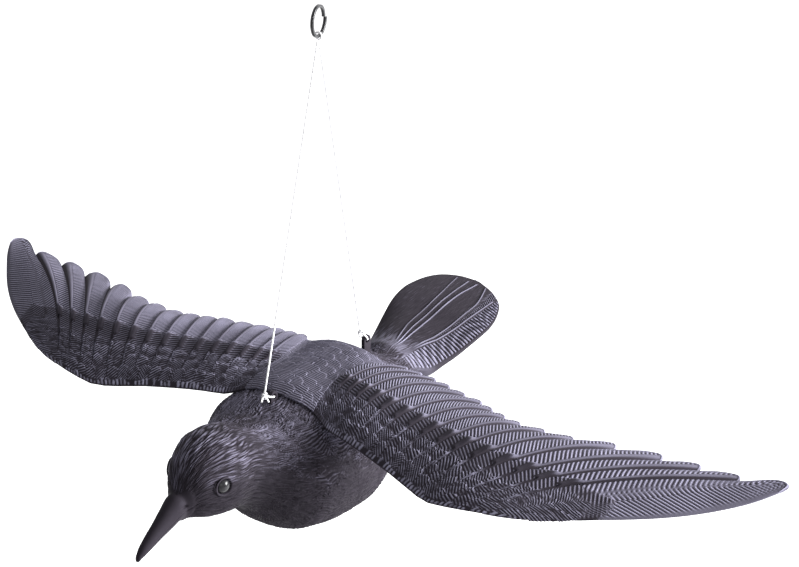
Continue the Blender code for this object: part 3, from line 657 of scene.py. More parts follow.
@dataclass(frozen=True)
class CoatedWire:
    """Black coating on spring wire."""

    name: str = "coated_wire"
    colour: Colour = (0.012, 0.012, 0.014, 1.0)
    wear_and_sheen: Colour = (0.06, 0.06, 0.065, 1.0)
    wear_and_sheen_start: float = 0.62
    wear_and_sheen_gain: float = 6.0
    worn_metal: float = 0.6
    scuff_scale: float = 700.0
    scuff_height: float = 0.00003
    roughness: Range = (0.24, 0.18)

    def build(self) -> Material:
        """Return the material."""
        board = Board(bpy.data.materials.new(self.name))
        scuff = board.noise(board.place(), self.scuff_scale, 3.0)
        wear_and_sheen_share = ((scuff - self.wear_and_sheen_start) * self.wear_and_sheen_gain).clamped()
        colour = board.mix(wear_and_sheen_share, self.colour, self.wear_and_sheen)
        rough = self.roughness[0] + scuff * self.roughness[1]
        return board.finish(Base_Color=colour, Metallic=wear_and_sheen_share * self.worn_metal, Roughness=rough,
                            Normal=board.bump(scuff, self.scuff_height))


@dataclass(frozen=True)
class TwistedString:
    """White twisted nylon string with fine fibres."""

    name: str = "twisted_string"
    colour: Colour = (0.92, 0.92, 0.94, 1.0)
    ply_groove_shade: Colour = (0.70, 0.70, 0.73, 1.0)
    crest_tone: float = 0.8
    fibre_tone: float = 0.3
    fibre_scale: float = 2600.0
    fibre_height: float = 0.00005
    roughness: Range = (0.62, 0.2)

    def build(self) -> Material:
        """Return the material."""
        board = Board(bpy.data.materials.new(self.name))
        place = board.place()
        crest = board.mark("relief")
        fibre = board.noise(place, self.fibre_scale)
        # The plies' crests are painted lighter and the grooves between them are painted in shade.
        light = crest * self.crest_tone + fibre * self.fibre_tone
        colour = board.mix(light.clamped(), self.ply_groove_shade, self.colour)
        rough = self.roughness[0] + fibre * self.roughness[1]
        return board.finish(Base_Color=colour, Roughness=rough,
                            Normal=board.bump(fibre, self.fibre_height))


@dataclass(frozen=True)
class BirdForm:
    """The bird's outer skin as a row of squared ellipses, from the beak's tip to the tail's rim."""

    head_reach: float = 0.0880
    body_length: float = 0.2100
    body_width: float = 0.0950
    body_depth: float = 0.0960
    squareness: float = 2.2
    beak_length: float = 0.0377
    beak_width: float = 0.0170
    beak_depth: float = 0.0180
    beak_tip: float = 0.0020
    tail_length: float = 0.1140
    tail_width: float = 0.0700
    tail_thickness: float = 0.0046
    tail_arch: float = 0.0130
    tail_arch_reach: float = 0.0300
    tail_bend: float = 0.00225
    tail_warp: float = math.radians(11.0)
    tail_squareness: float = 4.0
    shoulder_share: float = 0.4190
    tail_squareness_run: float = 0.340
    tail_bend_power: float = 1.5
    saddle_lift: float = 0.0024
    out_of_seat: float = -1.0

    BODY_SHARES = (
        (0.000, -0.335, 0.074, 0.090, 0.104), (0.016, -0.306, 0.103, 0.133, 0.133),
        (0.043, -0.265, 0.156, 0.185, 0.196), (0.090, -0.252, 0.217, 0.242, 0.248),
        (0.148, -0.233, 0.261, 0.252, 0.294), (0.210, -0.244, 0.269, 0.250, 0.308),
        (0.271, -0.294, 0.316, 0.248, 0.354), (0.343, -0.344, 0.404, 0.275, 0.473),
        (0.443, -0.379, 0.507, 0.346, 0.577), (0.562, -0.433, 0.524, 0.431, 0.583),
        (0.681, -0.448, 0.520, 0.454, 0.588), (0.800, -0.383, 0.459, 0.379, 0.525),
        (0.895, -0.323, 0.336, 0.203, 0.406), (0.971, -0.304, 0.257, 0.110, 0.250),
    )
    BEAK_SHARES = (
        (1.000, -0.530, 0.035, 0.030, 0.030), (0.930, -0.506, 0.130, 0.125, 0.120),
        (0.750, -0.466, 0.210, 0.220, 0.210), (0.500, -0.418, 0.270, 0.300, 0.300),
        (0.250, -0.370, 0.350, 0.400, 0.410), (0.080, -0.338, 0.410, 0.450, 0.470),
    )
    TAIL_SHARES = (
        (0.070, -0.263, 0.283, 1.348, 2.891), (0.158, -0.260, 0.346, 0.891, 1.891),
        (0.272, -0.240, 0.396, 0.652, 1.000), (0.377, -0.229, 0.439, 0.533, 0.630),
        (0.500, -0.219, 0.477, 0.500, 0.522), (0.623, -0.200, 0.490, 0.489, 0.500),
        (0.737, -0.191, 0.467, 0.478, 0.478), (0.833, -0.184, 0.416, 0.467, 0.467),
        (0.904, -0.182, 0.350, 0.457, 0.457), (0.947, -0.179, 0.271, 0.435, 0.435),
        (0.982, -0.177, 0.163, 0.391, 0.391), (1.000, -0.177, 0.046, 0.304, 0.304),
    )

    @property
    def back_length(self) -> float:
        """Return the distance from the shoulders to the rump."""
        return self.body_length - self.head_reach

    def place(self, share: float) -> float:
        """Turn a share of the way from face to rump into a distance behind the shoulders."""
        if share < self.shoulder_share:
            return self.head_reach * (share / self.shoulder_share - 1)
        return self.back_length * (share - self.shoulder_share) / (1 - self.shoulder_share)

    def stations(self) -> Array:
        """Return every station as y, centre, half width, rise and fall."""
        depth = self.body_depth
        beak = [(-self.head_reach - a * self.beak_length, c * depth, w * self.beak_width,
                 r * self.beak_depth, f * self.beak_depth) for a, c, w, r, f in self.BEAK_SHARES]
        body = [(self.place(a), c * depth, w * self.body_width, r * depth, f * depth)
                for a, c, w, r, f in self.BODY_SHARES]
        tail = [(self.back_length + a * self.tail_length, c * depth, w * self.tail_width,
                 r * self.tail_thickness, f * self.tail_thickness)
                for a, c, w, r, f in self.TAIL_SHARES]
        return np.array(beak + body + tail)

    def sizes(self, y: Array) -> Array:
        """Return centre, half width, rise and fall at each place along the bird."""
        table = self.stations()
        return np.stack([smooth_curve(table[:, 0], table[:, k], y) for k in range(1, 5)], -1)

    def along_tail(self, y: Array) -> Array:
        """Return the share of the way along the tail, below 0 ahead of it."""
        return (np.asarray(y, float) - self.back_length) / self.tail_length

    def skin(self, y: Array, angles: Array) -> Array:
        """Return the skin's places by row and column, in world metres.

        Args:
            y: places along the bird, one for each row.
            angles: turns round the section, one for each column, 0 at the left side.
        """
        centre, width, rise, fall = (self.sizes(y)[:, k, None] for k in range(4))
        from_tip = np.minimum(y + self.head_reach + self.beak_length, self.beak_tip)
        blunt = np.sqrt(np.maximum(from_tip * (2 * self.beak_tip - from_tip), 0.0))[:, None]
        width, rise, fall = (np.maximum(size, blunt) for size in (width, rise, fall))
        share = self.along_tail(y)[:, None]
        rise_share = straight_ramp(share, -0.193, 0.0)
        droop = rise_share * (1 - eased_ramp(share, 0.070, 0.491))
        square = (self.squareness + (self.tail_squareness - self.squareness)
                  * straight_ramp(share, 0.0, self.tail_squareness_run))
        roll = self.tail_warp * straight_ramp(share, -0.105, 0.053)
        side, up = np.cos(angles)[None, :], np.sin(angles)[None, :]
        height = np.where(up > 0, rise, fall)
        x = width * np.sign(side) * np.abs(side) ** (2 / square)
        z = height * np.sign(up) * np.abs(up) ** (2 / square)
        across = x * np.cos(roll) + z * np.sin(roll)
        drop = x * np.sin(roll) + self.tail_arch * droop * (across / self.tail_arch_reach) ** 2
        bend = -self.tail_bend * np.maximum(share, 0.0) ** self.tail_bend_power
        return to_world(np.stack([across + bend, y[:, None] + 0 * x, centre + z - drop], -1))

    def seat_height(self, x: Array, y: Array) -> Array:
        """Return the lowest height at which the wings' top clears the back, if it lies over it."""
        sizes = self.sizes(y)
        reach = np.abs(x) / (sizes[..., 1] + self.saddle_lift)
        crown = np.clip(1 - np.clip(reach, 0, 1) ** self.squareness, 0, 1)
        height = sizes[..., 0] + (sizes[..., 2] + self.saddle_lift) * crown ** (1 / self.squareness)
        return np.where(reach < 1, height, self.out_of_seat)


@dataclass(frozen=True)
class Shaft:
    """One shaft of the tail fan: its places across, at shares of the way along the tail."""

    shares: tuple[float, ...]
    places: tuple[float, ...]
    half: float
    rise: float

    def line(self, share: Array) -> Array:
        """Return the shaft's place across the tail at shares of the way along it."""
        return smooth_curve(np.array(self.shares), np.array(self.places), share)


@dataclass(frozen=True)
class TailFan:
    """The carving of the tail fan: overlapping feathers, their shafts and their barbs."""

    form: BirdForm
    full_shaft: float = 0.0008
    vane_edge: Range = (0.0010, 0.0018)
    barb_lean: float = 0.12
    barb: float = 0.0027
    barb_height: float = 0.00080
    barb_crest: Range = (1.25, 0.24)
    hair_lean: float = 0.8
    hair: float = 0.0019
    hair_height: float = 0.00045
    hair_crest: Range = (0.60, 0.4)
    thread_height: float = 0.00016
    thread_crest: Range = (0.30, 0.4)
    root: Range = (0.10, 0.34)

    SHAFTS = (
        Shaft((0.16, 0.37, 0.64, 0.96), (-0.0063, -0.0086, -0.0098, -0.0131), 0.0005, 0.0006),
        Shaft((0.12, 0.42, 0.73, 0.97), (-0.0030, -0.0043, -0.0051, -0.0044), 0.0005, 0.0007),
        Shaft((0.12, 0.47, 0.72, 0.98), (0.0009, -0.0005, -0.0008, 0.0021), 0.0006, 0.0008),
        Shaft((0.20, 0.49, 0.75, 0.985), (0.0103, 0.0139, 0.0146, 0.0081), 0.0006, 0.0007),
        Shaft((0.20, 0.49, 0.73, 0.90), (0.0117, 0.0178, 0.0200, 0.0209), 0.0006, 0.0008),
    )
    THREADS = Strokes(0.0011, 0.0090, 0.10, 0.10, 53)

    def relief(self, rows: Array, angles: Array) -> tuple[Array, Array]:
        """Return the carving's height in metres and its crests.

        Args:
            rows: places along the bird, by row and column.
            angles: turns of the columns round the section.
        """
        share = np.clip(self.form.along_tail(rows), 0.0, 1.0)
        reach = self.form.sizes(rows[:, 0])[:, 1][:, None]
        side = np.sign(np.cos(angles)) * np.abs(np.cos(angles)) ** (
            2 / self.form.tail_squareness)
        position = side[None, :] * reach
        along = share * self.form.tail_length
        height = np.zeros(rows.shape)
        crests = np.full(rows.shape, 0.30)
        nearest = np.full(rows.shape, 1.0)
        signed = np.zeros(rows.shape)
        for shaft in self.SHAFTS:
            line = shaft.line(share)
            start, finish = shaft.shares[0], shaft.shares[-1]
            off = position - line
            ridge = arch(off / shaft.half) * straight_ramp(share, start - 0.03, start + 0.05)
            ridge = ridge * (1 - straight_ramp(share, finish - 0.03, finish))
            height += shaft.rise * ridge
            # Shafts are painted lighter, a painted highlight along their ridges.
            crests += 0.42 * ridge * (shaft.rise / self.full_shaft)
            closer = np.abs(off) < nearest
            nearest = np.where(closer, np.abs(off), nearest)
            signed = np.where(closer, off, signed)
        from_last = position - line
        edge = ramp(reach - np.abs(position), 0.0008, 0.0018) * (1 - ramp(share, 0.965, 0.99))
        vane = ramp(from_last, *self.vane_edge) * edge
        barb = wave((along + self.barb_lean * from_last) / self.barb) ** 1.6
        hair = wave((along - self.hair_lean * np.abs(signed)) / self.hair)
        thread = self.THREADS.relief(from_last, along)
        open_skin = ramp(nearest, 0.0006, 0.0012) * (1 - vane) * edge
        haired = ramp(position, 0.0120, 0.0150) * (1 - ramp(from_last, -0.0012, -0.0004))
        started = ramp(share, 0.02, 0.10)
        # Crests of the barbs, hairs and threads are painted lighter and their hollows darker, a
        # painted highlight and shade.
        for height_share, crest_share, pattern, where in (
                (self.barb_height, self.barb_crest, barb, vane),
                (self.hair_height, self.hair_crest, hair, haired * open_skin),
                (self.thread_height, self.thread_crest, thread, open_skin)):
            height += started * height_share * (pattern - 0.5) * where
            crests += started * crest_share[0] * (pattern - crest_share[1]) * where
        crests += started * 0.22 * (1 - ramp(share, *self.root))
        return height, crests


@dataclass(frozen=True)
class Body:
    """The hollow moulding: beak, head, trunk and tail fan, with its carved plumage."""

    form: BirdForm
    finish: Material
    tail_finish: Material
    columns: int = 480
    beak_rows: int = 34
    head_rows: int = 150
    trunk_rows: int = 196
    tail_rows: int = 170
    lead_rows: int = 60
    beak_row_power: float = 1.6
    even_turns: float = 0.6
    head_end: float = -0.0200
    head_depth: float = 0.00085
    trunk_depth: float = 0.00150
    flow_radius: float = 0.0250
    tuft_swirl: float = 1.3
    patch_size: Range = (0.012, 0.018)
    patch_depth: Range = (0.65, 0.7)
    low_crest: float = 0.02
    crest_gain: float = 0.95
    lit_crest: Range = (0.34, 0.66)
    trunk_crest: Range = (0.80, 0.20)
    beak_crest: float = 0.26
    beak_end: float = -0.0885
    beak_end_dip: float = 0.0045
    mouth_turns: Range = (math.radians(352), math.radians(188))
    mouth_width: float = 0.00035
    mouth_depth: float = 0.00040
    eye_share: float = 0.0967
    eye_sink: float = 0.00436
    eye_lift_share: float = 0.0796
    eye_diameter: float = 0.0105
    socket_depth: float = 0.0019
    nostril: tuple[float, float, float] = (0.0068, -0.0890, -0.0305)
    nostril_stretch: tuple[float, float, float] = (1.0, 0.45, 1.0)
    nostril_depth: float = 0.0011

    SWIRLS = (Drift(0.016, 0.030, 5, 0.0070), Drift(0.007, 0.012, 6, 0.0022))
    STROKES = Strokes(0.0015, 0.0105, 0.30, 0.25, 11)
    TUFTS = Tufts(0.0078, 0.0150, 0.00135, 0.60, 29)

    def rows(self) -> list[Array]:
        """Return the places of the head's, the trunk's and the tail's rows."""
        form = self.form
        start = -form.head_reach
        tip = start - form.beak_length
        beak_shares = np.linspace(0, 1, self.beak_rows, endpoint=False) ** self.beak_row_power
        beak = tip + form.beak_length * beak_shares
        head = np.linspace(start, self.head_end, self.head_rows)
        trunk = np.linspace(self.head_end, form.back_length, self.trunk_rows)
        tail = form.back_length + form.tail_length * np.sin(
            np.linspace(0, math.pi / 2, self.tail_rows))
        return [np.concatenate([beak, head]), trunk, tail]

    def eye_centre(self, side: int) -> Array:
        """Return the middle of an eye bead in world metres; side is 1 for the left eye."""
        y = self.form.place(self.eye_share)
        centre, width, rise, _ = self.form.sizes(np.array([y]))[0]
        return to_world([side * (width - self.eye_sink), y, centre + self.eye_lift_share * rise])

    def build(self) -> list[Item]:
        """Return the finished head, trunk and tail."""
        round_turns = np.linspace(0, math.tau, self.columns + 1)
        even = np.linspace(1, -1, self.columns // 2 + 1)
        even = self.even_turns * even + (1 - self.even_turns) * np.sin(even * math.pi / 2)
        top = np.arccos(np.clip(np.sign(even) * even ** 2, -1, 1))
        flat_turns = np.concatenate([top, math.tau - top[-2::-1]])
        head, trunk, tail = self.rows()
        pieces = []
        for name, part, turns, finish in (("crow_head", head, round_turns, self.finish),
                                          ("crow_trunk", trunk, round_turns, self.finish),
                                          ("crow_tail", tail, flat_turns, self.tail_finish)):
            lead = np.linspace(head[0], part[0], self.lead_rows)[:-1]
            lead = lead[lead < part[0] - 0.0005]
            pieces.append(self.build_piece(name, lead, part, turns, finish))
        return pieces

    def build_piece(self, name: str, lead: Array, part: Array, turns: Array,
                    finish: Material) -> Item:
        """Return one stretch of the body.

        Args:
            name: the piece's name.
            lead: rows ahead of the stretch, which only measure the plumage's run up to it.
            part: the stretch's own rows.
            turns: the columns' turns round the section.
            finish: its plastic.
        """
        margin = [] if name == "crow_tail" else [part[-1] + (part[-1] - part[-2])]
        y = np.concatenate([lead, part, margin])
        skin = self.form.skin(y, turns)
        normals = surface_normals(skin)
        if normals[len(lead) + len(part) // 2, self.columns // 4, 2] < 0:
            normals = -normals
        flow = self.flow_map(skin, turns)
        height, share, plumage = self.relief(skin, flow, y, turns)
        points = skin + normals * height[..., None]
        points[:, -1] = points[:, 0]
        rows = slice(len(lead), len(lead) + len(part))
        item = net(name, points[rows], {"flow": flow[rows]},
                   {"relief": share[rows], "plumage": plumage[rows]})
        close_tube(item)
        dress(item, finish, 50.0)
        return item

    def flow_map(self, skin: Array, angles: Array) -> Array:
        """Return places across and along the plumage's run, from the top of the back outwards."""
        around = (angles - math.pi / 2) * self.flow_radius
        steps = np.linalg.norm(np.diff(skin, axis=0), axis=2)
        along = np.concatenate([np.zeros((1, skin.shape[1])), np.cumsum(steps, 0)], 0)
        return np.stack([around + 0 * along, along], -1)

    def relief(self, skin: Array, flow: Array, y: Array,
               angles: Array) -> tuple[Array, Array, Array]:
        """Return the relief in metres, its crests, and where small plumage covers the skin.

        Args:
            skin: the plain skin's places.
            flow: places across and along the plumage's run.
            y: places of the rows along the bird.
            angles: turns of the columns round it.
        """
        across, along = flow[..., 0], flow[..., 1]
        rows = y[:, None] + 0 * across
        swirl = sum(drift.move(across, along) for drift in self.SWIRLS)
        fine = self.STROKES.relief(across + swirl, along)
        tufts = self.TUFTS.relief(across + swirl * self.tuft_swirl, along)
        on_trunk = ramp(rows, -0.046, -0.022)
        plumage = self.beak_border(rows, angles)
        strokes = fine * (1 - on_trunk) + tufts * on_trunk
        patch = spread(self.patch_depth, cloud(across / self.patch_size[0],
                                               along / self.patch_size[1], 31))
        tail = straight_ramp(self.form.along_tail(rows), -0.10, 0.14)
        depth = (self.head_depth * (1 - on_trunk) + self.trunk_depth * on_trunk) * patch
        height = depth * (1 - tail) * (strokes - 1.0) * plumage
        # Crests are painted lighter on the top of the body than underneath, a painted light from
        # above, and stroke crests are painted lighter than the hollows between them.
        above = ramp(np.sin(angles), -0.5, 0.6)[None, :]
        light = spread(self.lit_crest, above) * spread(self.trunk_crest, on_trunk)
        share = self.low_crest + self.crest_gain * strokes * patch * light
        share = share * plumage + self.beak_crest * (1 - plumage)
        feathers, crests = TailFan(self.form).relief(rows, angles)
        height = height + feathers * tail + self.mouth_line(skin, rows, angles)
        share = share * (1 - tail) + crests * tail
        covered = plumage * (1 - tail)
        return height + self.hollows(skin), np.clip(share, 0, 1), covered

    def beak_border(self, rows: Array, angles: Array) -> Array:
        """Return 0 on the smooth beak and 1 on the plumage, whose border dips at the sides."""
        border = self.beak_end + self.beak_end_dip * np.abs(np.cos(angles))[None, :] ** 1.5
        return ramp(rows - border, -0.0004, 0.0010)

    def mouth_line(self, skin: Array, rows: Array, angles: Array) -> Array:
        """Return how far the line of the mouth sinks, as a height below 0."""
        length = ramp(rows, -0.1210, -0.1080) * (1 - ramp(rows, -0.0840, -0.0790))
        right, left = self.mouth_turns
        turn = np.minimum(np.abs(angles - right), np.abs(angles - left))
        reach = np.linalg.norm(skin[:, :1] - skin[:, self.columns // 2:self.columns // 2 + 1],
                               axis=2) / 2
        gape = np.exp(-(turn[None, :] * reach / self.mouth_width) ** 2)
        return -self.mouth_depth * gape * length

    def hollows(self, skin: Array) -> Array:
        """Return how far the skin sinks round each eye bead and into each nostril."""
        height = np.zeros(skin.shape[:2])
        x, y, z = self.nostril
        for side in (1, -1):
            near = np.linalg.norm(skin - self.eye_centre(side), axis=2)
            height -= self.socket_depth * (1 - ramp(near, 0.0056, 0.0068))
            hole = np.linalg.norm((skin - to_world([side * x, y, z])) * self.nostril_stretch,
                                  axis=2)
            height -= self.nostril_depth * (1 - ramp(hole, 0.0004, 0.0014))
        return height


class Side(Enum):
    """Which half of the bird a piece belongs to."""

    LEFT = 1
    RIGHT = -1


@dataclass(frozen=True)
class Block:
    """A run of lengthwise lines of the wing net, row by row."""

    places: Array
    base: Array
    barbs: Array
    crests: Array

    def first_line(self) -> "Block":
        """Return the block's first line alone."""
        return Block(*(getattr(self, field.name)[:, :1] for field in fields(self)))

    @staticmethod
    def joined(blocks: Sequence["Block"]) -> "Block":
        """Return one block made of several that lie side by side."""
        return Block(*(np.concatenate([getattr(block, field.name) for block in blocks], 1)
                       for field in fields(Block)))


@dataclass(frozen=True)
class Course:
    """The run of one feather, row by row: its spine, and its width across the spine."""

    t: Array
    spine: Array
    tangent: Array
    reach: Array
    width: Array
    middle_width: float
    middle_slip: float

    @property
    def length(self) -> float:
        """Return the spine's length."""
        return float(self.reach[-1])

    def off_spine(self, base: Array, along: Array) -> tuple[Array, Array]:
        """Return where each place's barb starts along the spine, and how far off it the place lies.

        Args:
            base: places on the smooth wing.
            along: each place's share of the feather's length.
        """
        t = self.t[:, 0]
        here = np.stack([np.interp(along, t, self.spine[:, axis]) for axis in (0, 1)], -1)
        way = np.stack([np.interp(along, t, self.tangent[:, axis]) for axis in (0, 1)], -1)
        offset = base[..., :2] - here
        started = np.interp(along, t, self.reach) + np.sum(offset * way, -1)
        return started, np.abs(offset[..., 0] * way[..., 1] - offset[..., 1] * way[..., 0])


@dataclass(frozen=True)
class Vane:
    """One feather's carving over its net, before its coverts."""

    ridge: Array
    barbed: Array
    tooth: Array
    phase: Array
    end: Array


@dataclass(frozen=True)
class Wings:
    """The one-piece wings, each side in an outer and an inner piece that meet in a feather step.

    Blends between the parts of a feather start and end at distances in metres.
    """

    form: BirdForm
    finish: Material
    span: float = 0.6000
    chord: float = 0.1120
    drop: float = 0.0200
    wall: float = 0.0016
    nose_depth: float = 0.0030
    feather_step: float = 0.00085
    covert_step: float = 0.0009
    covert_scallop: float = 0.0060
    saddle_width: float = 0.0520
    shaft_rise: float = 0.00050
    tip_peak: float = 0.24
    shaft_middle: float = 0.00110
    shaft_half: float = 0.00090
    barb_rise: float = 0.00030
    outer_barb_lean: float = 1.05
    finger_length: float = 0.0150
    finger_half: float = 0.0024
    finger_rise: float = 0.0010
    front_sink: float = 0.0020
    seat_blend: float = 0.0050
    dash_length: float = 0.0022
    lesser_start: float = 0.0022
    lesser_blend: float = 0.0008
    covert_pitch: float = 0.0125
    rows: int = 360
    saddle_columns: int = 74
    outer_feathers: int = 7
    covert_share: float = 0.42
    shaft_share: float = 0.22
    first_shaft_share: float = 0.50
    under_share: float = 0.55
    edge_share: float = 0.80
    first_peak: float = 0.12
    tip_fall: float = 2.8
    middle_row: float = 0.6
    narrowest: float = 0.0080
    full_width: float = 0.0115
    least_scale: float = 0.45
    vane_edge: Range = (0.0, 0.0006)
    tooth: float = 0.00045
    tooth_fall: float = 0.95
    first_tooth: float = 0.0011
    first_nose: float = 0.0200
    outer_barb: float = 0.0032
    tip_bead: float = 0.0011
    tip_drop: float = 0.0005
    first_covert: float = 0.014
    covert_run: float = 0.20
    covert_gap: float = 0.004
    covert_blend: Range = (-0.001, 0.002)
    covert_barb_lean: float = 0.30
    finger_taper: float = 0.0025
    small_height: float = 0.0008
    small_barb_height: float = 0.0004
    scale_light: Range = (0.5, 0.7)
    dash_pitch: float = 0.0034
    dash_height: float = 0.0005
    dash_light: Range = (0.30, 0.70)
    dash_taper: float = 0.0008
    saddle_front: float = 0.4686
    saddle_rear: float = 0.8190
    saddle_length: float = 0.085
    saddle_height: float = 0.00050
    saddle_barb_height: float = 0.00035
    saddle_turn: Range = (0.86, 0.50)
    saddle_edge: float = 0.015
    inside: float = 0.00001
    weld: float = 0.0006

    SHAFTS = (
        (0.573, -0.076, 0.713, 0.312, 1.000, 0.918), (0.533, -0.116, 0.657, 0.277, 0.895, 0.857),
        (0.493, -0.141, 0.613, 0.259, 0.811, 0.856), (0.457, -0.154, 0.568, 0.250, 0.727, 0.843),
        (0.423, -0.160, 0.522, 0.237, 0.635, 0.785), (0.393, -0.132, 0.473, 0.232, 0.558, 0.702),
        (0.363, -0.108, 0.427, 0.237, 0.498, 0.676), (0.333, -0.090, 0.385, 0.250, 0.445, 0.664),
        (0.303, -0.072, 0.343, 0.268, 0.405, 0.681), (0.272, -0.052, 0.303, 0.290, 0.369, 0.708),
        (0.240, -0.029, 0.263, 0.308, 0.333, 0.746), (0.207, -0.011, 0.223, 0.321, 0.287, 0.766),
        (0.177, 0.008, 0.187, 0.339, 0.242, 0.794), (0.150, 0.030, 0.153, 0.357, 0.203, 0.812),
        (0.127, 0.050, 0.123, 0.375, 0.168, 0.812), (0.105, 0.075, 0.097, 0.393, 0.135, 0.800),
    )
    NOTCHES = (
        (0.906, 0.794), (0.822, 0.782), (0.743, 0.756), (0.649, 0.701), (0.568, 0.637),
        (0.508, 0.615), (0.455, 0.605), (0.414, 0.626), (0.376, 0.662), (0.340, 0.703),
        (0.295, 0.725), (0.250, 0.755), (0.210, 0.775), (0.175, 0.778), (0.141, 0.770),
        (0.110, 0.750),
    )
    LEADING = (
        (0.00, -0.10), (0.08, -0.32), (0.13, -0.46), (0.19, -0.48), (0.24, -0.57), (0.31, -0.70),
        (0.36, -0.87), (0.41, -0.96), (0.50, -0.88), (0.60, -0.86), (0.75, -0.90), (0.86, -0.87),
        (0.93, -0.70), (1.00, -0.47),
    )
    COVERT = (
        (0.00, 0.15), (0.10, 0.17), (0.17, 0.18), (0.26, 0.05), (0.38, -0.04), (0.47, -0.08),
        (0.57, -0.28), (0.71, -0.54), (0.81, -0.86),
    )
    TIP = (
        (0.00, 0.00), (0.10, -0.22), (0.16, -0.38), (0.24, -0.44), (0.40, -0.46), (0.52, -0.49),
        (0.63, -0.57), (0.73, -0.63), (0.85, -0.58), (1.00, -0.47),
    )
    RIM = (0.593, -0.058, 0.810, 0.299, 0.998, 0.868)
    # The rounded end of the first feather: share across it, then its place along the span and chord
    FIRST_END = (
        (0.00, 0.9950, 0.825), (0.12, 0.9995, 0.871), (0.25, 0.9965, 0.903), (0.38, 0.9860, 0.921),
        (0.50, 0.9720, 0.918), (0.66, 0.9530, 0.891), (0.82, 0.9320, 0.848), (1.00, 0.9060, 0.794),
    )
    NOSE = ((0.0, 1.0), (0.0014, 0.62), (0.0030, 0.35), (0.0085, 0.05), (0.0200, 0.0), (1.0, 0.0))
    FEATHER_COLUMNS = (0.0, 0.022, 0.045, 0.07, 0.095, 0.12, 0.15, 0.18, 0.21, 0.245, 0.285, 0.34,
                       0.40, 0.47, 0.55, 0.63, 0.71, 0.79, 0.87, 0.94, 0.98)
    FIRST_COLUMNS = (0.0, 0.02, 0.05, 0.09, 0.13, 0.18, 0.24, 0.30, 0.36, 0.41, 0.45, 0.47, 0.485,
                     0.50, 0.515, 0.53, 0.55, 0.58, 0.62, 0.68, 0.74, 0.80, 0.86, 0.92, 0.97)
    INNER_COLUMNS = (0.0, 0.03, 0.06, 0.095, 0.13, 0.17, 0.21, 0.25, 0.30, 0.36, 0.43, 0.51, 0.60,
                     0.69, 0.78, 0.87, 0.94, 0.98)
    BARB_LEANS = (0.55,) * 4 + (0.70,) * 3 + (0.95,) * 9
    BARBS = (0.00300, 0.00305, 0.00285, 0.00270, 0.00255, 0.00250, 0.00245) + (0.00230,) * 9
    COVERT_BARBS = (0.00240, 0.00240, 0.00235, 0.00230) + (0.00220,) * 12
    # Where the first feather's coverts end: share across it, then the share of its length
    FIRST_COVERT = ((0.0, 0.5, 1.0), (0.27, 0.43, 0.41))
    SMALL_DRIFT = Drift(0.013, 0.013, 7, 0.0040)
    SMALL_SCALES = Shingles(0.0094, 0.0080, 0.0019, 0.70)
    SADDLE_DRIFT = Drift(0.010, 0.010, 8, 0.0036)
    SADDLE_SCALES = Shingles(0.0086, 0.0074, 0.0016, 0.50)

    def spot(self, across: float, back: float, heights: Sequence[tuple[float, float]]) -> Array:
        """Turn shares of the half span and the chord into a bird place with its height."""
        table = np.array(heights)
        height = float(smooth_curve(table[:, 0], table[:, 1], np.array([across]))[0])
        return np.array([across * self.span / 2, back * self.chord, height * self.drop])

    def line(self, shares: Sequence[float]) -> Array:
        """Return the three places that a shaft runs through."""
        return np.array([self.spot(shares[0], shares[1], self.LEADING),
                         self.spot(shares[2], shares[3], self.COVERT),
                         self.spot(shares[4], shares[5], self.TIP)])

    def edges(self) -> tuple[list[Array], list[Array]]:
        """Return the shafts and the boundary lines between feathers, from the rim inwards."""
        shafts = [self.line(shares) for shares in self.SHAFTS]
        notches = [self.spot(across, back, self.TIP) for across, back in self.NOTCHES]
        edges = [self.line(self.RIM)]
        edges[0][1] = self.spot(self.RIM[2], self.RIM[3], self.LEADING)
        for outer, inner, notch in zip(shafts, shafts[1:], notches):
            edge = outer + (inner - outer) * self.edge_share
            edge[2] = notch
            edges.append(edge)
        last = shafts[-1] + (shafts[-1] - shafts[-2]) * self.edge_share
        last[2] = notches[-1]
        edges.append(last)
        return shafts, edges

    def curve(self, line: Array, along: Array) -> Array:
        """Read the curve through a line's three places at shares of its length."""
        middle = self.covert_share
        weights = np.stack([(along - middle) * (along - 1) / middle,
                            along * (along - 1) / (middle * (middle - 1)),
                            along * (along - middle) / (1 - middle)], -1)
        return weights @ line

    def tip_bulge(self, share: Array, peak: float) -> Array:
        """Return how far a rounded tip reaches past the line between its notches."""
        falling = 1 - np.clip((share - peak) / (1 - peak), 0, 1) ** self.tip_fall
        return np.where(share <= peak, arch(1 - share / peak), falling)

    def feather_lines(self, k: int, shares: Array, shafts: Sequence[Array],
                      edges: Sequence[Array]) -> tuple[Array, Array]:
        """Return a feather's lines and how far the end of each moves from its smooth course."""
        outer, inner = edges[k], edges[k + 1]
        lines = outer + (inner - outer) * shares[:, None, None]
        place, peak = (self.shaft_share, self.tip_peak) if k else (self.first_peak,) * 2
        crest = shafts[k][2] - (outer[2] + (inner[2] - outer[2]) * place)
        lines[:, 2] += crest * self.tip_bulge(shares, peak)[:, None]
        if k:
            return lines, np.zeros((len(shares), 3))
        table = np.array(self.FIRST_END)
        ends = np.stack([np.interp(shares, table[:, 0], table[:, 1]) * self.span / 2,
                         np.interp(shares, table[:, 0], table[:, 2]) * self.chord,
                         lines[:, 2, 2]], 1)
        return lines, ends - lines[:, 2]

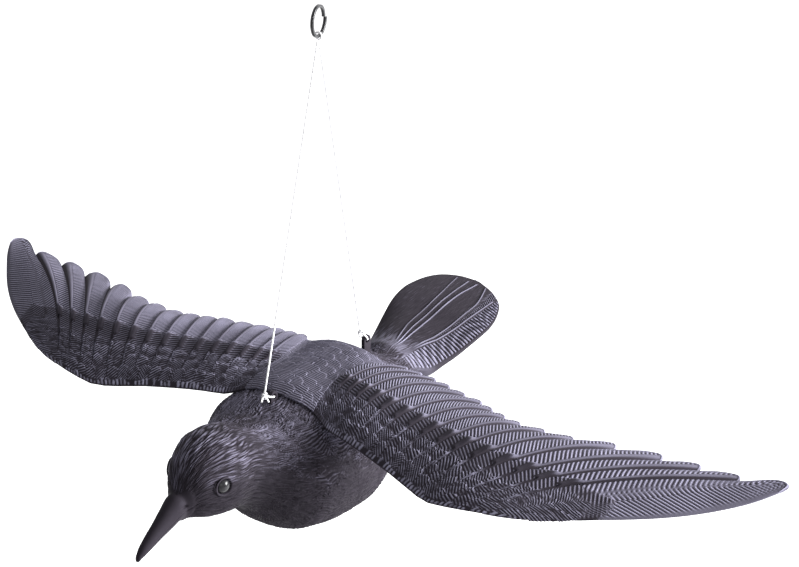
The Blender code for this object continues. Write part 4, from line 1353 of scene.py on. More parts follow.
    def course(self, k: int, shafts: Sequence[Array], edges: Sequence[Array]) -> Course:
        """Measure the run of one feather."""
        t = np.linspace(0, 1, self.rows)[:, None]
        spine = self.curve(shafts[k], t[:, 0])
        steps = np.linalg.norm(np.diff(spine, axis=0), axis=1)
        reach = np.concatenate([[0.0], np.cumsum(steps)])
        tangent = np.gradient(spine, axis=0)
        tangent /= np.linalg.norm(tangent, axis=1, keepdims=True)
        gap = self.curve(edges[k + 1], t[:, 0]) - self.curve(edges[k], t[:, 0])
        slip = np.sum(gap * tangent, 1, keepdims=True)
        width = np.linalg.norm(gap - tangent * slip, axis=1)[:, None]
        middle = int(self.rows * self.middle_row)
        return Course(t, spine, tangent, reach, width, float(width[middle, 0]),
                      float(slip[middle, 0]))

    def row_lean(self, k: int, shares: Array, course: Course,
                 start_lean: float) -> tuple[Array, float]:
        """Return how far each column's rows lean, and how far the last one does.

        Rows lean with the barbs, so that a barb stays close to one row of the net.

        Args:
            k: the feather's number from the wing tip.
            shares: the columns' shares of the way across the feather.
            course: the feather's run.
            start_lean: how far the rows of the feather outside it lean at the shared edge.
        """
        width, slip, barb_lean = course.middle_width, course.middle_slip, self.BARB_LEANS[k]
        if k == 0:
            off = shares - self.first_shaft_share
            lean = np.where(off < 0, -off * self.outer_barb_lean, off * barb_lean)
            lean = lean * width - off * slip
            return lean, float(lean[-1])
        band = (self.shaft_middle + self.shaft_half) / max(width, self.narrowest)
        lean = (shares - band) * barb_lean * width - shares * slip
        joining = start_lean * (1 - shares / band) - band * slip * shares / band
        return np.where(shares < band, joining, lean), float(lean[-1])

    def first_vane(self, shares: Array, across: Array, started: Array,
                   from_spine: Array) -> Vane:
        """Carve the outermost feather, whose shaft is hidden and which has barbs on both sides."""
        half = self.shaft_half * 0.3
        barbed = ramp(from_spine, half, half + self.vane_edge[1]) * ramp(across, 0.0008, 0.0032)
        tooth = np.clip(across / self.first_tooth, 0, 1) * (1 - self.tooth_fall * shares)
        phase = np.where(shares < self.first_shaft_share,
                         (started - self.outer_barb_lean * from_spine) / self.outer_barb,
                         (started - self.BARB_LEANS[0] * from_spine) / self.BARBS[0])
        return Vane(0 * across, barbed, tooth, phase, np.interp(shares, *self.FIRST_COVERT))

    def other_vane(self, k: int, shares: Array, across: Array, started: Array,
                   scale: Array) -> Vane:
        """Carve any other feather, whose shaft lies near its outer edge."""
        bound = (self.shaft_middle + self.shaft_half) * scale
        barbed = ramp(across - bound, *self.vane_edge)
        barbed = barbed * (1 - 0.8 * ramp(shares, 0.93, 1.0))
        tooth = np.clip(across / self.tooth, 0, 1) * (1 - self.tooth_fall * shares)
        phase = (started - self.BARB_LEANS[k] * across) / self.BARBS[k]
        end = self.covert_share + self.covert_scallop / self.chord * (
            self.tip_bulge(shares, self.shaft_share) - 0.5)
        from_shaft = np.abs(across - self.shaft_middle * scale)
        return Vane(arch(from_shaft / (self.shaft_half * scale)), barbed, tooth, phase, end)

    def feather_block(self, k: int, shafts: Sequence[Array], edges: Sequence[Array],
                      start_lean: float) -> tuple[Block, float]:
        """Shape one flight feather with the coverts that lie on it.

        Args:
            k: the feather's number from the wing tip.
            shafts: every feather's shaft.
            edges: the boundary lines between feathers.
            start_lean: how far the rows of the feather outside it lean at the shared edge.

        Returns:
            The feather's block, and how far its rows lean at its inner edge.
        """
        first = k == 0
        columns = self.FEATHER_COLUMNS if k < self.outer_feathers else self.INNER_COLUMNS
        shares = np.array(self.FIRST_COLUMNS if first else columns)
        course = self.course(k, shafts, edges)
        t, length = course.t, course.length
        lines, shifts = self.feather_lines(k, shares, shafts, edges)
        lean, end_lean = self.row_lean(k, shares, course, start_lean)
        fade = ramp(t, 0.02, 0.22) * np.clip((1 - t) / 0.35, 0, 1)
        along = t + lean / length * fade
        base = np.stack([
            self.curve(line, along[:, c])
            + shift * ramp(along[:, c:c + 1], 0.62, 1.0) ** 1.7
            for c, (line, shift) in enumerate(zip(lines, shifts))], 1)
        started, from_spine = course.off_spine(base, along)
        across = course.width * shares
        scale = np.clip(course.width / self.full_width, self.least_scale, 1.0)
        vane = (self.first_vane(shares, across, started, from_spine) if first
                else self.other_vane(k, shares, across, started, scale))

        # to_end is above 0 on the coverts, and to_tip is the way left to the tip, in metres
        to_end = (vane.end - along) * length
        to_tip = (1 - t) * length + 0 * shares
        tip_bead = arch((to_tip - self.tip_bead) / self.tip_bead)
        reach = self.first_covert if first else self.covert_run * length - self.covert_gap
        inner_end = (reach + self.covert_blend[0], reach + self.covert_blend[1])
        long_part = 1 - ramp(to_end, -0.0012, -0.0003)
        covert = ramp(to_end, 0.0, 0.0006) * (1 - ramp(to_end, *inner_end))
        step = ramp(to_end, -0.0006, 0.0004)
        if first:
            step = step * ramp(across, 0.002, 0.014)
        entry = 1 - ramp(to_end, 0.002, 0.011)
        finger_half = self.finger_half * scale
        finger = arch((across - finger_half * 1.05) / finger_half)
        finger = finger * ramp(to_end, -0.0004, 0.0014) * (1 - ramp(
            to_end, self.finger_length - self.finger_taper, self.finger_length))
        if first:
            finger = finger * 0.0
        ridge = vane.ridge * ramp(to_tip, 0.0010, 0.0080)
        strength = vane.barbed * (
            long_part * ramp(to_tip, 0.0018, 0.0028)
            + 0.8 * covert * (1 - np.clip(finger * 3, 0, 1)))
        covert_phase = (started - self.covert_barb_lean * across) / self.COVERT_BARBS[k]
        phase = np.where(to_end > 0, covert_phase, vane.phase)
        barbs = wave(phase)
        zone = 1 - ramp(-to_end, -reach + self.covert_blend[0], -reach + self.covert_blend[1])
        small, small_crest = self.small_coverts(base, zone, along * length,
                                                (k + shares[None, :]) * self.covert_pitch)
        from_body = np.minimum(base[..., 0] / self.saddle_width, 1.0)
        plain = self.feather_step * vane.tooth * entry + self.covert_step * from_body * step
        shown = long_part + 0.3 * covert * entry
        detail = (plain + self.shaft_rise * ridge * shown
                  + self.barb_rise * strength * (barbs - 0.5)
                  + self.finger_rise * finger + small
                  + 0.8 * self.shaft_rise * tip_bead * (1 - ridge)
                  - self.tip_drop * (1 - ramp(to_tip, 0.0, 0.0009)))
        # The rim at the coverts' ends, the finger ends and the tip bead get painted highlights, and
        # barb crests are painted lighter than their hollows.
        rim = ramp(to_end, -0.0004, 0.0) * (1 - ramp(to_end, 0.0008, 0.0015)) * from_body
        lit_end = finger * (1 - ramp(to_end, 0.0014, 0.0034))
        crests = (0.42 + 0.15 * long_part + 0.04 * ridge * shown
                  + 0.56 * strength * (barbs - 0.40) + small_crest
                  + 0.02 * finger + 0.25 * lit_end + 0.15 * rim + 0.25 * tip_bead)
        edge = along * length
        if first:
            edge = np.minimum(edge, across + self.first_nose * ramp(along, 0.08, 0.50))
        else:
            # A painted step shadow darkens each feather's outer edge.
            crests = crests - 0.30 * (1 - ramp(across, *self.vane_edge)) * entry
        return self._block(base, edge, plain, detail, phase, strength, crests), end_lean

    def _block(self, base: Array, edge: Array, plain: Array, detail: Array, phase: Array,
               strength: Array, crests: Array) -> Block:
        """Return a block from its smooth places, its relief, its barbs and its crests."""
        nose = np.array(self.NOSE)
        dip = self.nose_depth * np.interp(edge, nose[:, 0], nose[:, 1])
        seat = self.form.seat_height(base[..., 0], base[..., 1])
        seat = seat - self.front_sink * (1 - ramp(edge, 0.0, 0.0100))
        level = base[..., 2] + plain - dip
        joined = np.maximum(level, seat)
        joined = joined + np.maximum(self.seat_blend - np.abs(level - seat), 0.0) ** 2 / (
            4 * self.seat_blend)
        low = np.where(seat < self.form.out_of_seat / 2, level, joined)
        high = low + (detail - plain)
        flat = base[..., :2]
        return Block(np.concatenate([flat, high[..., None]], -1),
                     np.concatenate([flat, low[..., None]], -1),
                     np.stack([phase, strength], -1), np.clip(crests, 0, 1))

    def small_coverts(self, base: Array, zone: Array, edge: Array,
                      across: Array) -> tuple[Array, Array]:
        """Return the height and crests of the small feathers behind the leading edge.

        Args:
            base: places on the smooth wing.
            zone: 1 where the small feathers lie and 0 on the long ones.
            edge: distance behind the leading edge.
            across: places across the feathers, counted from the wing tip.
        """
        x, y = base[..., 0], base[..., 1]
        wobble = self.SMALL_DRIFT.move(x, y)
        scale, barb, rim = self.SMALL_SCALES.relief(across + 0.5 * wobble, edge + wobble)
        dash_share = (across + 0.4 * edge + 0.9 * wobble) / self.dash_pitch
        number = np.floor(dash_share)
        luck = chance(number, 0 * number, 19)
        reach = self.dash_length * (0.6 + 1.2 * luck)
        off = np.abs(2 * (dash_share - number) - 1) / 0.60
        dash = np.clip(1 - off ** 2, 0, 1) * (luck > 0.12)
        dash = dash * ramp(edge, 0.0002, 0.0008)
        dash = dash * (1 - ramp(edge, reach - self.dash_taper, reach))
        dash = dash * ramp(x, 0.025, 0.050) * (1 - ramp(x, 0.200, 0.260))
        dash = dash * spread(self.dash_light, chance(number, number, 23))
        inward = 0.5 + 0.5 * ramp(x, 0.020, 0.050)
        height = zone * ramp(edge, 0.0030, 0.0080) * inward * (
            self.small_height * (scale - 0.5) + self.small_barb_height * (barb - 0.5))
        behind = ramp(edge, self.lesser_start, self.lesser_start + self.lesser_blend)
        # Barb crests, the scales' rims and the dashes along the leading edge get painted
        # highlights.
        light = 0.80 * (barb - 0.42)
        crest = zone * behind * (light * spread(self.scale_light, scale) + 0.15 * rim)
        return height + self.dash_height * dash, crest + 1.10 * dash

    def saddle_line(self, share: float, edge: Array) -> Array:
        """Return a column of the saddle, which follows the back and then joins the wing."""
        front, rear = self.form.place(self.saddle_front), self.form.place(self.saddle_rear)
        spine = np.array([front, (front + rear) / 2, rear])
        blend = share ** 2
        x = share * edge[:, 0]
        y = spine + (edge[:, 1] - spine) * blend
        seat = self.form.seat_height(x, y)
        level = np.maximum(edge[:, 2], seat)
        on_back = seat >= self.form.out_of_seat / 2
        z = np.where(on_back, seat, level) * (1 - blend) + level * blend
        return np.stack([x, y, z], 1)

    def saddle_block(self, edge: Array, start_lean: float) -> Block:
        """Shape the saddle between the innermost feather and the spine."""
        t = np.linspace(0, 1, self.rows)[:, None]
        shares = np.linspace(1, 0, self.saddle_columns + 1)
        lines = [self.saddle_line(float(share), edge) for share in shares]
        fade = ramp(t, 0.03, 0.25) * (1 - ramp(t, 0.84, 1.0))
        lean = start_lean * np.clip(1 - (1 - shares) * 6, 0, 1)
        along = t + lean / self.saddle_length * fade
        base = np.stack([self.curve(line, along[:, c]) for c, line in enumerate(lines)], 1)
        long, short = self.saddle_turn
        across = base[..., 0] * long - base[..., 1] * short
        back = base[..., 0] * short + base[..., 1] * long
        wobble = self.SADDLE_DRIFT.move(across, back)
        scale, barb, rim = self.SADDLE_SCALES.relief(across + wobble, back + 0.6 * wobble + 0.2)
        from_body = np.minimum(base[..., 0] / self.saddle_width, 1.0)
        inner = ramp(t, 0.0, self.saddle_edge) * ramp(1 - t, 0.0, self.saddle_edge) + 0 * across
        plain = self.covert_step * from_body * (1 - ramp(along, 0.415, 0.425))
        detail = plain + (self.saddle_height * (scale - 0.5)
                          + self.saddle_barb_height * (barb - 0.5)) * inner
        zero = np.zeros(along.shape)
        # Barb crests and the scales' rims get painted highlights.
        light = 0.55 * (barb - 0.42)
        crests = 0.56 + light * spread(self.scale_light, scale) + 0.10 * rim
        return self._block(base, along * self.saddle_length, plain, detail, zero, zero, crests)

    def blocks(self) -> list[Block]:
        """Return the outer and the inner piece's blocks, which share their middle line."""
        shafts, edges = self.edges()
        made, lean = [], 0.0
        for k in range(len(shafts)):
            block, lean = self.feather_block(k, shafts, edges, lean)
            made.append(block)
        made.append(self.saddle_block(edges[-1], lean))
        outer, inner = made[:self.outer_feathers], made[self.outer_feathers:]
        return [Block.joined(outer + [inner[0].first_line()]), Block.joined(inner)]

    def build(self) -> list[Item]:
        """Return the finished pieces of both sides."""
        pieces = []
        for place, block in zip(("outer", "inner"), self.blocks()):
            left = self.build_piece(f"left_{place}_wing", block, place == "inner")
            pick(left)
            bpy.ops.object.duplicate()
            right = rename(f"right_{place}_wing")
            right.data.transform(Matrix.Scale(-1.0, 4, (1.0, 0.0, 0.0)))
            right.data.flip_normals()
            pieces += [left, right]
        return pieces

    def build_piece(self, name: str, block: Block, reaches_spine: bool) -> Item:
        """Return one piece of the left wing: its relief on top and a plainer underside."""
        end = self.span / 2
        points = np.minimum(block.places, [end - self.inside, 1.0, 1.0])
        base = np.minimum(block.base, [end, 1.0, 1.0])
        if reaches_spine:
            points[:, -1, 0] = base[:, -1, 0] = 0.0
        item = net(name, to_world(base), {"feather": block.barbs}, {"relief": block.crests})
        if item.data.polygons[len(item.data.polygons) // 2].normal.z < 0:
            item.data.flip_normals()
        count = len(item.data.vertices)
        add_modifier(item, "SOLIDIFY", thickness=self.wall, offset=-1.0)
        apply_all(item)
        total = len(item.data.vertices)
        flat = np.empty(total * 3)
        item.data.vertices.foreach_get("co", flat)
        places = flat.reshape(total, 3)
        places[:count] = to_world(points).reshape(-1, 3)
        if reaches_spine:
            places[np.abs(places[:, 0]) < self.weld, 0] = 0.0
        item.data.vertices.foreach_set("co", places.ravel())
        under = item.vertex_groups.new(name="under")
        under.add(list(range(count, total)), 1.0, "REPLACE")
        add_modifier(item, "DECIMATE", ratio=self.under_share, vertex_group="under")
        apply_all(item)
        item.vertex_groups.clear()
        for vertex in item.data.vertices:
            vertex.co.x = min(vertex.co.x, end - self.inside)
        dress(item, self.finish, 50.0)
        return item


@dataclass(frozen=True)
class Eye:
    """An eye bead in its socket, with the raised lid round it."""

    body: Body
    bead_finish: Material
    lid_finish: Material
    turn: float = math.radians(16.0)
    lid_diameter: float = 0.0112
    lid_reach: float = 0.0034
    lid_rim: float = 0.00060
    lid_flatness: float = 0.8
    lid_tone: float = 0.40

    def build(self, side: Side) -> tuple[Item, Item]:
        """Return the bead and its lid."""
        centre = self.body.eye_centre(side.value)
        way = Vector((side.value * math.cos(self.turn), -math.sin(self.turn), 0.0))
        stand = way.to_track_quat("Z", "Y").to_euler()
        prefix = side.name.lower()
        deselect()
        bpy.ops.mesh.primitive_uv_sphere_add(
            segments=48, ring_count=24, radius=self.body.eye_diameter / 2, location=centre,
            rotation=stand)
        bead = rename(f"{prefix}_eye_bead")
        settle(bead)
        dress(bead, self.bead_finish)
        deselect()
        bpy.ops.mesh.primitive_torus_add(
            major_segments=64, minor_segments=16, major_radius=self.lid_diameter / 2,
            minor_radius=self.lid_rim, location=Vector(centre) + way * self.lid_reach,
            rotation=stand)
        lid = rename(f"{prefix}_eye_lid")
        mark_relief(lid, self.lid_tone)
        lid.scale = (1.0, 1.0, self.lid_flatness)
        settle(lid)
        dress(lid, self.lid_finish)
        return bead, lid


@dataclass(frozen=True)
class Lug:
    """A pinch-off lug on the back: a flat tab with a round top and a string hole."""

    name: str
    share: float
    hole_drop: float
    root: float
    length: float = 0.0070
    thickness: float = 0.0026
    hole: float = 0.0034
    bevel: float = 0.0004
    tone: float = 0.34

    def middle(self, form: BirdForm) -> Array:
        """Return the middle of the string hole in world metres."""
        return to_world([0.0, form.place(self.share), -self.hole_drop])

    def _disc(self, name: str, vertices: int, diameter: float, thickness: float,
              place: Array) -> Item:
        """Return a disc that stands lengthwise on the bird's back."""
        deselect()
        bpy.ops.mesh.primitive_cylinder_add(
            vertices=vertices, radius=diameter / 2, depth=thickness, location=place,
            rotation=(0.0, math.pi / 2, 0.0))
        item = rename(name)
        settle(item)
        return item

    def build(self, form: BirdForm, finish: Material) -> Item:
        """Return the finished lug."""
        middle = self.middle(form)
        item = self._disc(self.name, 64, self.length, self.thickness, middle)

        def work(_: EditMesh) -> None:
            """Cut the disc at its middle and draw the cut face down into the back."""
            bpy.ops.mesh.select_all(action="SELECT")
            bpy.ops.mesh.bisect(plane_co=middle, plane_no=(0.0, 0.0, 1.0), use_fill=True,
                                clear_inner=True)
            bpy.ops.mesh.select_all(action="DESELECT")
            mesh = bmesh.from_edit_mesh(item.data)
            for face in mesh.faces:
                if abs(face.normal.z) > 0.9 and face.calc_center_median().z < middle[2] + 0.0001:
                    face.select_set(True)
            bmesh.update_edit_mesh(item.data)
            bpy.ops.mesh.extrude_region_move(
                TRANSFORM_OT_translate={"value": (0.0, 0.0, -self.root)})
            face_outwards()
        in_edit_mode(item, work)
        drill = self._disc("drill", 40, self.hole, self.thickness * 3, middle)
        add_modifier(item, "BOOLEAN", operation="DIFFERENCE", solver="EXACT", object=drill)
        add_modifier(item, "BEVEL", width=self.bevel, segments=3, limit_method="ANGLE",
                     angle_limit=math.radians(50))
        apply_all(item)
        bpy.data.objects.remove(drill, do_unlink=True)
        mark_relief(item, self.tone)
        dress(item, finish)
        return item


FRONT_LUG = Lug("front_hanging_lug", 0.4419, 0.0008, 0.0110)
REAR_LUG = Lug("rear_hanging_lug", 0.9048, 0.0030, 0.0130)


@dataclass(frozen=True)
class SplitRing:
    """A flat spring wire wound in two close turns."""

    finish: Material
    diameter: float = 0.0196
    wire_height: float = 0.0017
    wire_thickness: float = 0.00095
    gap: float = 0.00012
    turns: int = 2
    yaw: float = math.radians(13.0)
    steps: int = 96
    roundness: float = 0.55

    @property
    def pitch(self) -> float:
        """Return how far the wire climbs in one turn."""
        return self.wire_thickness + self.gap

    @property
    def centre(self) -> Vector:
        """Return the ring's middle, which hangs from the origin by its inner top."""
        return Vector((0.0, 0.0, -(self.diameter / 2 - self.wire_height)))

    @property
    def foot(self) -> Vector:
        """Return the middle of the wire at the ring's lowest place."""
        return self.centre - Vector((0.0, 0.0, (self.diameter - self.wire_height) / 2))

    def build(self) -> Item:
        """Return the finished ring."""
        middle = (self.diameter - self.wire_height) / 2
        deselect()
        bpy.ops.mesh.primitive_circle_add(vertices=20, radius=1.0, fill_type="NOTHING")
        item = rename("split_ring")
        low = -(self.pitch * self.turns) / 2

        def work(mesh: EditMesh) -> None:
            """Turn the circle into the wire's flat section."""
            for vert in mesh.verts:
                x, y = (math.copysign(abs(size) ** self.roundness, size) for size in vert.co[:2])
                vert.co = (middle + x * self.wire_height / 2, 0.0,
                           low + y * self.wire_thickness / 2)
            bmesh.update_edit_mesh(item.data)
        in_edit_mode(item, work)
        add_modifier(item, "SCREW", angle=math.tau * self.turns,
                     screw_offset=self.pitch * self.turns, steps=self.steps * self.turns,
                     render_steps=self.steps * self.turns, merge_threshold=MERGE)
        apply_all(item)

        def close(_: EditMesh) -> None:
            """Cap the wire's two ends."""
            bpy.ops.mesh.select_non_manifold(extend=False)
            bpy.ops.mesh.fill_holes(sides=0)
            face_outwards()
        in_edit_mode(item, close)
        stand = Matrix.Rotation(self.yaw, 4, "Z") @ Matrix.Rotation(math.pi / 2, 4, "Y")
        item.matrix_world = (Matrix.Translation(self.centre) @ stand
                             @ Matrix.Rotation(math.pi / 2, 4, "Z"))
        settle(item)
        dress(item, self.finish)
        return item


@dataclass(frozen=True)
class Bridle:
    """One string: a turn round the ring's wire, two taut strands and a knot at each lug."""

    form: BirdForm
    ring: SplitRing
    finish: Material
    diameter: float = 0.00125
    plies: int = 3
    lay_length: float = 0.0052
    knot_length: float = 0.0036
    knot_width: float = 0.0028
    lug_length: float = 0.0095
    lug_thickness: float = 0.0026
    clearance: float = 0.0003
    strand_points: int = 38
    sides: int = 18
    wrap_pitch: float = 0.00146
    lobe_depth: Range = (0.78, 0.22)
    step: float = 0.00045
    curve_steps: int = 24
    ring_turn_points: int = 61
    loop_points: int = 49
    knot_points: int = 70
    knot_turns: float = 2.4
    knot_radius: float = 0.00105
    knot_share: float = 0.9
    tail_length: float = 0.0050
    tail_bow: float = 0.0005
    tail_points: int = 16

    def section(self, travelled: float) -> Array:
        """Return the string's lobed section, turned by its twist at a distance along it."""
        angles = np.linspace(0, math.tau, self.sides, endpoint=False)
        turn = math.tau * travelled / self.lay_length
        radius = self.diameter / 2 * spread(self.lobe_depth, self.lobes())
        return np.stack([radius * np.cos(angles + turn), radius * np.sin(angles + turn)], -1)

    def lobes(self) -> Array:
        """Return how far round the section each point stands out, from 0 to 1."""
        angles = np.linspace(0, math.tau, self.sides, endpoint=False)
        return np.abs(np.cos(self.plies * angles / 2))

    def string(self, name: str, path: Array) -> Item:
        """Lay a length of the twisted string along a path."""
        path = np.asarray(path, float)
        steps = np.linalg.norm(np.diff(path, axis=0), axis=1)
        travelled = np.concatenate([[0.0], np.cumsum(steps)])
        item = tube_along(name, path, lambda k: self.section(float(travelled[k])),
                          lambda k: self.lobes())
        dress(item, self.finish, 60.0)
        return item

    def dense(self, points: Sequence[Any], count: int) -> Array:
        """Return evenly spread points on a smooth curve through a few places."""
        places = np.array([tuple(p) for p in points], float)
        padded = np.concatenate([2 * places[:1] - places[1:2], places,
                                 2 * places[-1:] - places[-2:-1]])
        out = []
        for k in range(len(places) - 1):
            a, b, c, d = padded[k:k + 4]
            for t in np.linspace(0, 1, self.curve_steps, endpoint=False):
                out.append(0.5 * ((2 * b) + (c - a) * t + (2 * a - 5 * b + 4 * c - d) * t ** 2
                                  + (3 * b - a - 3 * c + d) * t ** 3))
        out.append(places[-1])
        line = np.array(out)
        steps = np.concatenate([[0], np.cumsum(np.linalg.norm(np.diff(line, axis=0), axis=1))])
        wanted = np.linspace(0, steps[-1], count)
        return np.stack([np.interp(wanted, steps, line[:, k]) for k in range(3)], -1)

    def knots(self) -> tuple[Vector, Vector]:
        """Return the middles of the two knots."""
        radius = self.lug_length / 2
        front_y, rear_y = (self.form.place(lug.share) for lug in (FRONT_LUG, REAR_LUG))
        front = to_world([0.0, front_y - radius - self.knot_length, self.lug_length / 3])
        rear = to_world([0.0, rear_y - radius - self.knot_width / 2, self.lug_length / 2])
        return Vector(front), Vector(rear)

    def wrap_radius(self) -> float:
        """Return the radius of the string's turn round the ring's doubled wire."""
        ring = self.ring
        side = (ring.pitch * ring.turns + ring.wire_thickness) / 2 - ring.pitch / 4
        corner = math.hypot(side, ring.wire_height / 2 - ring.wire_thickness / 4)
        return corner + self.clearance / 3 + self.diameter / 2

    def strand_route(self, knot: Vector) -> Array:
        """Return a taut strand's points, from under the ring to a knot."""
        top = self.ring.foot
        way = (knot - top).normalized()
        first = top + way * (self.wrap_radius() + self.diameter / 2 + 2 * self.clearance)
        last = knot - way * (self.knot_length / 2 + self.clearance)
        return np.array([first.lerp(last, k / (self.strand_points - 1))
                         for k in range(self.strand_points)])

    def build_strand(self, name: str, knot: Vector) -> tuple[Item, Array]:
        """Return one strand and its route."""
        route = self.strand_route(knot)
        length = float(np.linalg.norm(route[-1] - route[0]))
        fine = self.dense([route[0], route[-1]], int(length / self.step))
        return self.string(name, fine), route

    def winding(self, name: str, count: int, place: Callable[[float], Vector]
                ) -> Item:
        """Lay the string along evenly spread places of a wound course.

        Args:
            name: the object's name.
            count: how many points the course has.
            place: returns the place at a share of the course.
        """
        shares = [k / (count - 1) for k in range(count)]
        return self.string(name, np.array([tuple(place(share)) for share in shares]))

    def build_ring_turn(self) -> Item:
        """Return the string's turn round the ring's wire."""
        turn = Matrix.Rotation(self.ring.yaw, 3, "Z")
        along, across = turn @ Vector((0.0, 1.0, 0.0)), turn @ Vector((1.0, 0.0, 0.0))

        def place(share: float) -> Vector:
            """Return a place on the turn, from under the wire round to under it."""
            angle = math.tau * share - math.pi / 2
            way = across * math.cos(angle) + Vector((0.0, 0.0, math.sin(angle)))
            return (self.ring.foot + way * self.wrap_radius()
                    + along * self.wrap_pitch * (share - 0.5))
        return self.winding("string_ring_turn", self.ring_turn_points, place)

    def build_knot(self, name: str, knot: Vector, hole: Vector,
                   tails: Sequence[tuple[float, float, float]]) -> Item:
        """Return a lug knot: its loop through the lug, its wraps and its two cut tails.

        Args:
            name: the piece's name.
            knot: the knot's middle.
            hole: the middle of the lug's hole.
            tails: where the two cut ends point, across, back and up.
        """
        way = (self.ring.foot - knot).normalized()
        spread_out = self.lug_thickness / 2 + self.diameter / 2 + 2 * self.clearance
        side = Vector((1.0, 0.0, 0.0))
        across = way.cross(side).normalized()

        def loop(share: float) -> Vector:
            """Return a place on the loop through the lug."""
            angle = math.tau * share
            return (knot + (hole - knot) * ((1 - math.cos(angle)) / 2)
                    + side * spread_out * math.sin(angle))

        def wraps(share: float) -> Vector:
            """Return a place on the turns round the knot."""
            angle = math.tau * self.knot_turns * share
            return (knot + way * (self.knot_length * self.knot_share * (share - 0.5))
                    + side * self.knot_radius * math.cos(angle)
                    + across * self.knot_radius * math.sin(angle))
        pieces = [self.winding(f"{name}_loop", self.loop_points, loop),
                  self.winding(f"{name}_wraps", self.knot_points, wraps)]
        for number, tail in enumerate(tails):
            end = knot + Vector(tail) * self.tail_length
            bend = knot.lerp(end, 0.5) + side * self.tail_bow * (1 if number else -1)
            pieces.append(self.string(f"{name}_tail_{number}",
                                      self.dense([knot, bend, end], self.tail_points)))
        deselect()
        for piece in pieces:
            piece.select_set(True)
        bpy.context.view_layer.objects.active = pieces[0]
        bpy.ops.object.join()
        return rename(name)


@dataclass(frozen=True)
class Softbox:
    """A rectangular studio lamp."""

    name: str
    place: tuple[float, float, float]
    size: Range
    power: float
    aim: tuple[float, float, float] = (0.0, 0.0, -0.24)

    def build(self) -> Item:
        """Return the lamp."""
        lamp = bpy.data.lights.new(self.name, "AREA")
        lamp.shape = "RECTANGLE"
        lamp.size, lamp.size_y = self.size
        lamp.energy = self.power
        item = bpy.data.objects.new(self.name, lamp)
        bpy.context.scene.collection.objects.link(item)
        item.location = self.place
        item.rotation_euler = (Vector(self.place) - Vector(self.aim)).to_track_quat(
            "Z", "Y").to_euler()
        return item


@dataclass(frozen=True)
class Studio:
    """A pale floor, a white surround, soft lamps and the camera at the photograph's angle."""

    floor_height: float = -0.95
    floor_size: float = 16.0
    camera_place: tuple[float, float, float] = (0.79472, -1.06187, 0.45852)
    turn: float = math.radians(34.7694)
    tilt: float = math.radians(25.6330)
    focal_pixels: float = 2400.0
    sensor_width: float = 36.0
    clip: Range = (0.01, 60.0)
    floor_colour: Colour = (0.72, 0.72, 0.73, 1.0)
    floor_glow: float = 0.70
    surround_light: float = 0.30
    white: Colour = (1.0, 1.0, 1.0, 1.0)
    lamps: tuple[Softbox, ...] = (
        Softbox("back_box", (-0.80, 1.75, 1.05), (1.6, 1.0), 13.0),
        Softbox("side_box", (2.02, 1.12, 0.32), (1.4, 0.9), 245.0),
        Softbox("top_box", (0.5, 0.1, 1.8), (1.4, 1.4), 8.0),
        Softbox("front_box", (1.5, -1.9, 0.8), (1.2, 1.2), 10.0),
    )

    def build(self) -> None:
        """Build the floor, the surround, the lamps and the camera."""
        for lamp in self.lamps:
            lamp.build()
        self._build_floor()
        self._build_surround()
        self._build_camera()
        bpy.context.scene.view_settings.view_transform = "Standard"

    def _seen(self, board: Board) -> Signal:
        """Return 1 for rays that show the background: straight, mirrored or through glass."""
        path = board.node("ShaderNodeLightPath")
        straight, mirrored, through = (Signal(board, path.outputs[f"Is {kind} Ray"])
                                       for kind in ("Camera", "Glossy", "Transmission"))
        return (straight + mirrored + through).clamped()

    def _build_floor(self) -> None:
        """Lay the pale floor."""
        deselect()
        bpy.ops.mesh.primitive_plane_add(size=self.floor_size, location=(0, 0, self.floor_height))
        floor = rename("studio_floor")
        settle(floor)
        board = Board(bpy.data.materials.new("studio_floor"))
        plain = board.node("ShaderNodeBsdfDiffuse", None, {0: self.floor_colour}).outputs[0]
        glow = board.node("ShaderNodeEmission", None, {0: self.white, 1: self.floor_glow})
        both = board.node("ShaderNodeAddShader", None, {0: plain, 1: glow.outputs[0]})
        blend = board.node("ShaderNodeMixShader", None,
                           {0: self._seen(board), 1: plain, 2: both.outputs[0]})
        board.node("ShaderNodeOutputMaterial", None, {0: blend.outputs[0]})
        floor.data.materials.append(board.owner)

    def _build_surround(self) -> None:
        """Fill the world with plain light that shows as white."""
        board = Board(bpy.data.worlds.new("surround"))
        strength = self.surround_light + self._seen(board) * (1 - self.surround_light)
        back = board.node("ShaderNodeBackground", None, {0: self.white, 1: strength})
        board.node("ShaderNodeOutputWorld", None, {0: back.outputs[0]})
        bpy.context.scene.world = board.owner

    def _build_camera(self) -> None:
        """Place the camera where the photograph was taken."""
        data = bpy.data.cameras.new("photo_camera")
        data.sensor_width = self.sensor_width
        data.lens = self.focal_pixels * self.sensor_width / PHOTO_WIDTH
        data.clip_start, data.clip_end = self.clip
        item = bpy.data.objects.new("photo_camera", data)
        bpy.context.scene.collection.objects.link(item)
        back = Vector((math.sin(self.turn) * math.cos(self.tilt),
                       -math.cos(self.turn) * math.cos(self.tilt), math.sin(self.tilt)))
        item.location = self.camera_place
        item.rotation_euler = back.to_track_quat("Z", "Y").to_euler()
        bpy.context.scene.camera = item


def settle_piece(item: Item, body: str, stands_for: Iterable[str]) -> None:
    """Let a finished piece ride its body, and hide the frame's parts that it stands for.

    Args:
        item: the piece.
        body: the body that it moves with.
        stands_for: the frame's nodes that it replaces.
    """
    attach(item, body)
    names = tuple(stands_for)
    if names:
        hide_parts(*names)
    LOG.info("%s: %d faces on %s", item.name, len(item.data.polygons), body)


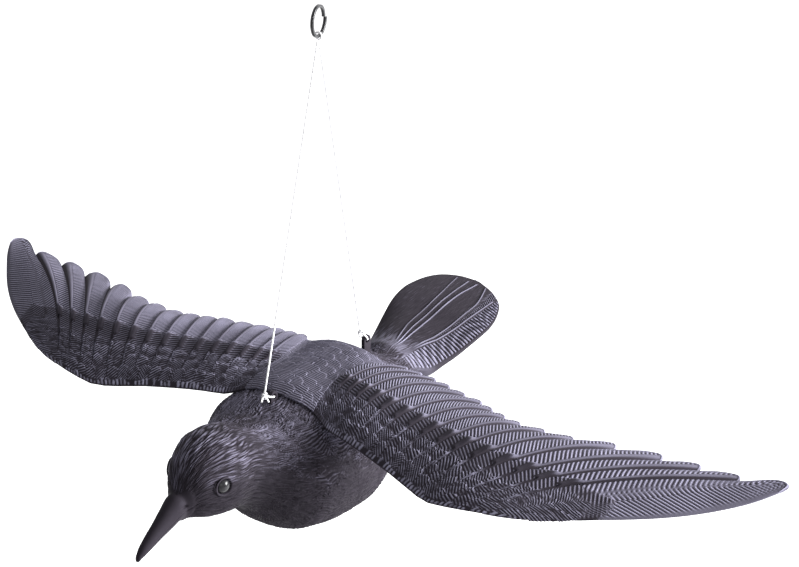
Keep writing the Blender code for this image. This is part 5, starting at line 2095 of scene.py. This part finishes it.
def build_bird(form: BirdForm) -> None:
    """Build the body, its lugs and eyes, and the wings."""
    body_plastic = MouldedPlastic("body_plastic", wear_and_sheen=(0.185, 0.175, 0.240, 1.0),
                                  streaks=True).build()
    tail_plastic = MouldedPlastic("tail_plastic", streaks=True).build()
    wing_plastic = MouldedPlastic("wing_plastic", barbs=True, gloss=0.01).build()
    plain_plastic = MouldedPlastic("plain_plastic").build()
    bead_gloss = GlossBead().build()
    body = Body(form, body_plastic, tail_plastic)
    for piece in body.build():
        settle_piece(piece, "bird", ["body_shell"])
    for lug in (FRONT_LUG, REAR_LUG):
        settle_piece(lug.build(form, plain_plastic), "bird", [])
    for piece in Wings(form, wing_plastic).build():
        settle_piece(piece, "bird", ["wing_pair"])
    eye = Eye(body, bead_gloss, plain_plastic)
    for side in Side:
        bead, lid = eye.build(side)
        settle_piece(bead, "bird", [f"{side.name.lower()}_eye"])
        settle_piece(lid, "bird", [])


def build_hanger(form: BirdForm) -> None:
    ring = SplitRing(CoatedWire().build())
    bridle = Bridle(form, ring, TwistedString().build())
    settle_piece(ring.build(), "ring", ["hang_ring"])
    turn = bridle.build_ring_turn()
    settle_piece(turn, "ring_turn", ["ring_knot"])
    front, rear = bridle.knots()
    front_knot, rear_knot = (
        bridle.build_knot(f"string_{place}_knot", knot, Vector(lug.middle(form)), tails)
        for place, knot, lug, tails in (
            ("front", front, FRONT_LUG, ((0.24, -0.84, -0.48), (0.43, 0.26, -0.86))),
            ("rear", rear, REAR_LUG, ((0.55, -0.82, -0.14), (0.86, -0.29, 0.43)))))
    settle_piece(front_knot, "bird", ["front_knot"])
    settle_piece(rear_knot, "bird", ["rear_knot"])
    for place, knot, ends in (("front", front, [front_knot, turn]), ("rear", rear, [rear_knot])):
        strand, route = bridle.build_strand(f"string_{place}_strand", knot)
        settle_piece(strand, "bridle", [f"{place}_strand"])
        length = float(np.linalg.norm(route[-1] - route[0]))


def main() -> None:
    """Build the whole scene."""
    logging.basicConfig(level=logging.INFO, format="%(name)s: %(message)s")
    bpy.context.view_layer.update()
    Studio().build()
    form = BirdForm()
    build_hanger(form)
    build_bird(form)
    bpy.context.view_layer.update()


if __name__ == "__main__":
    main()
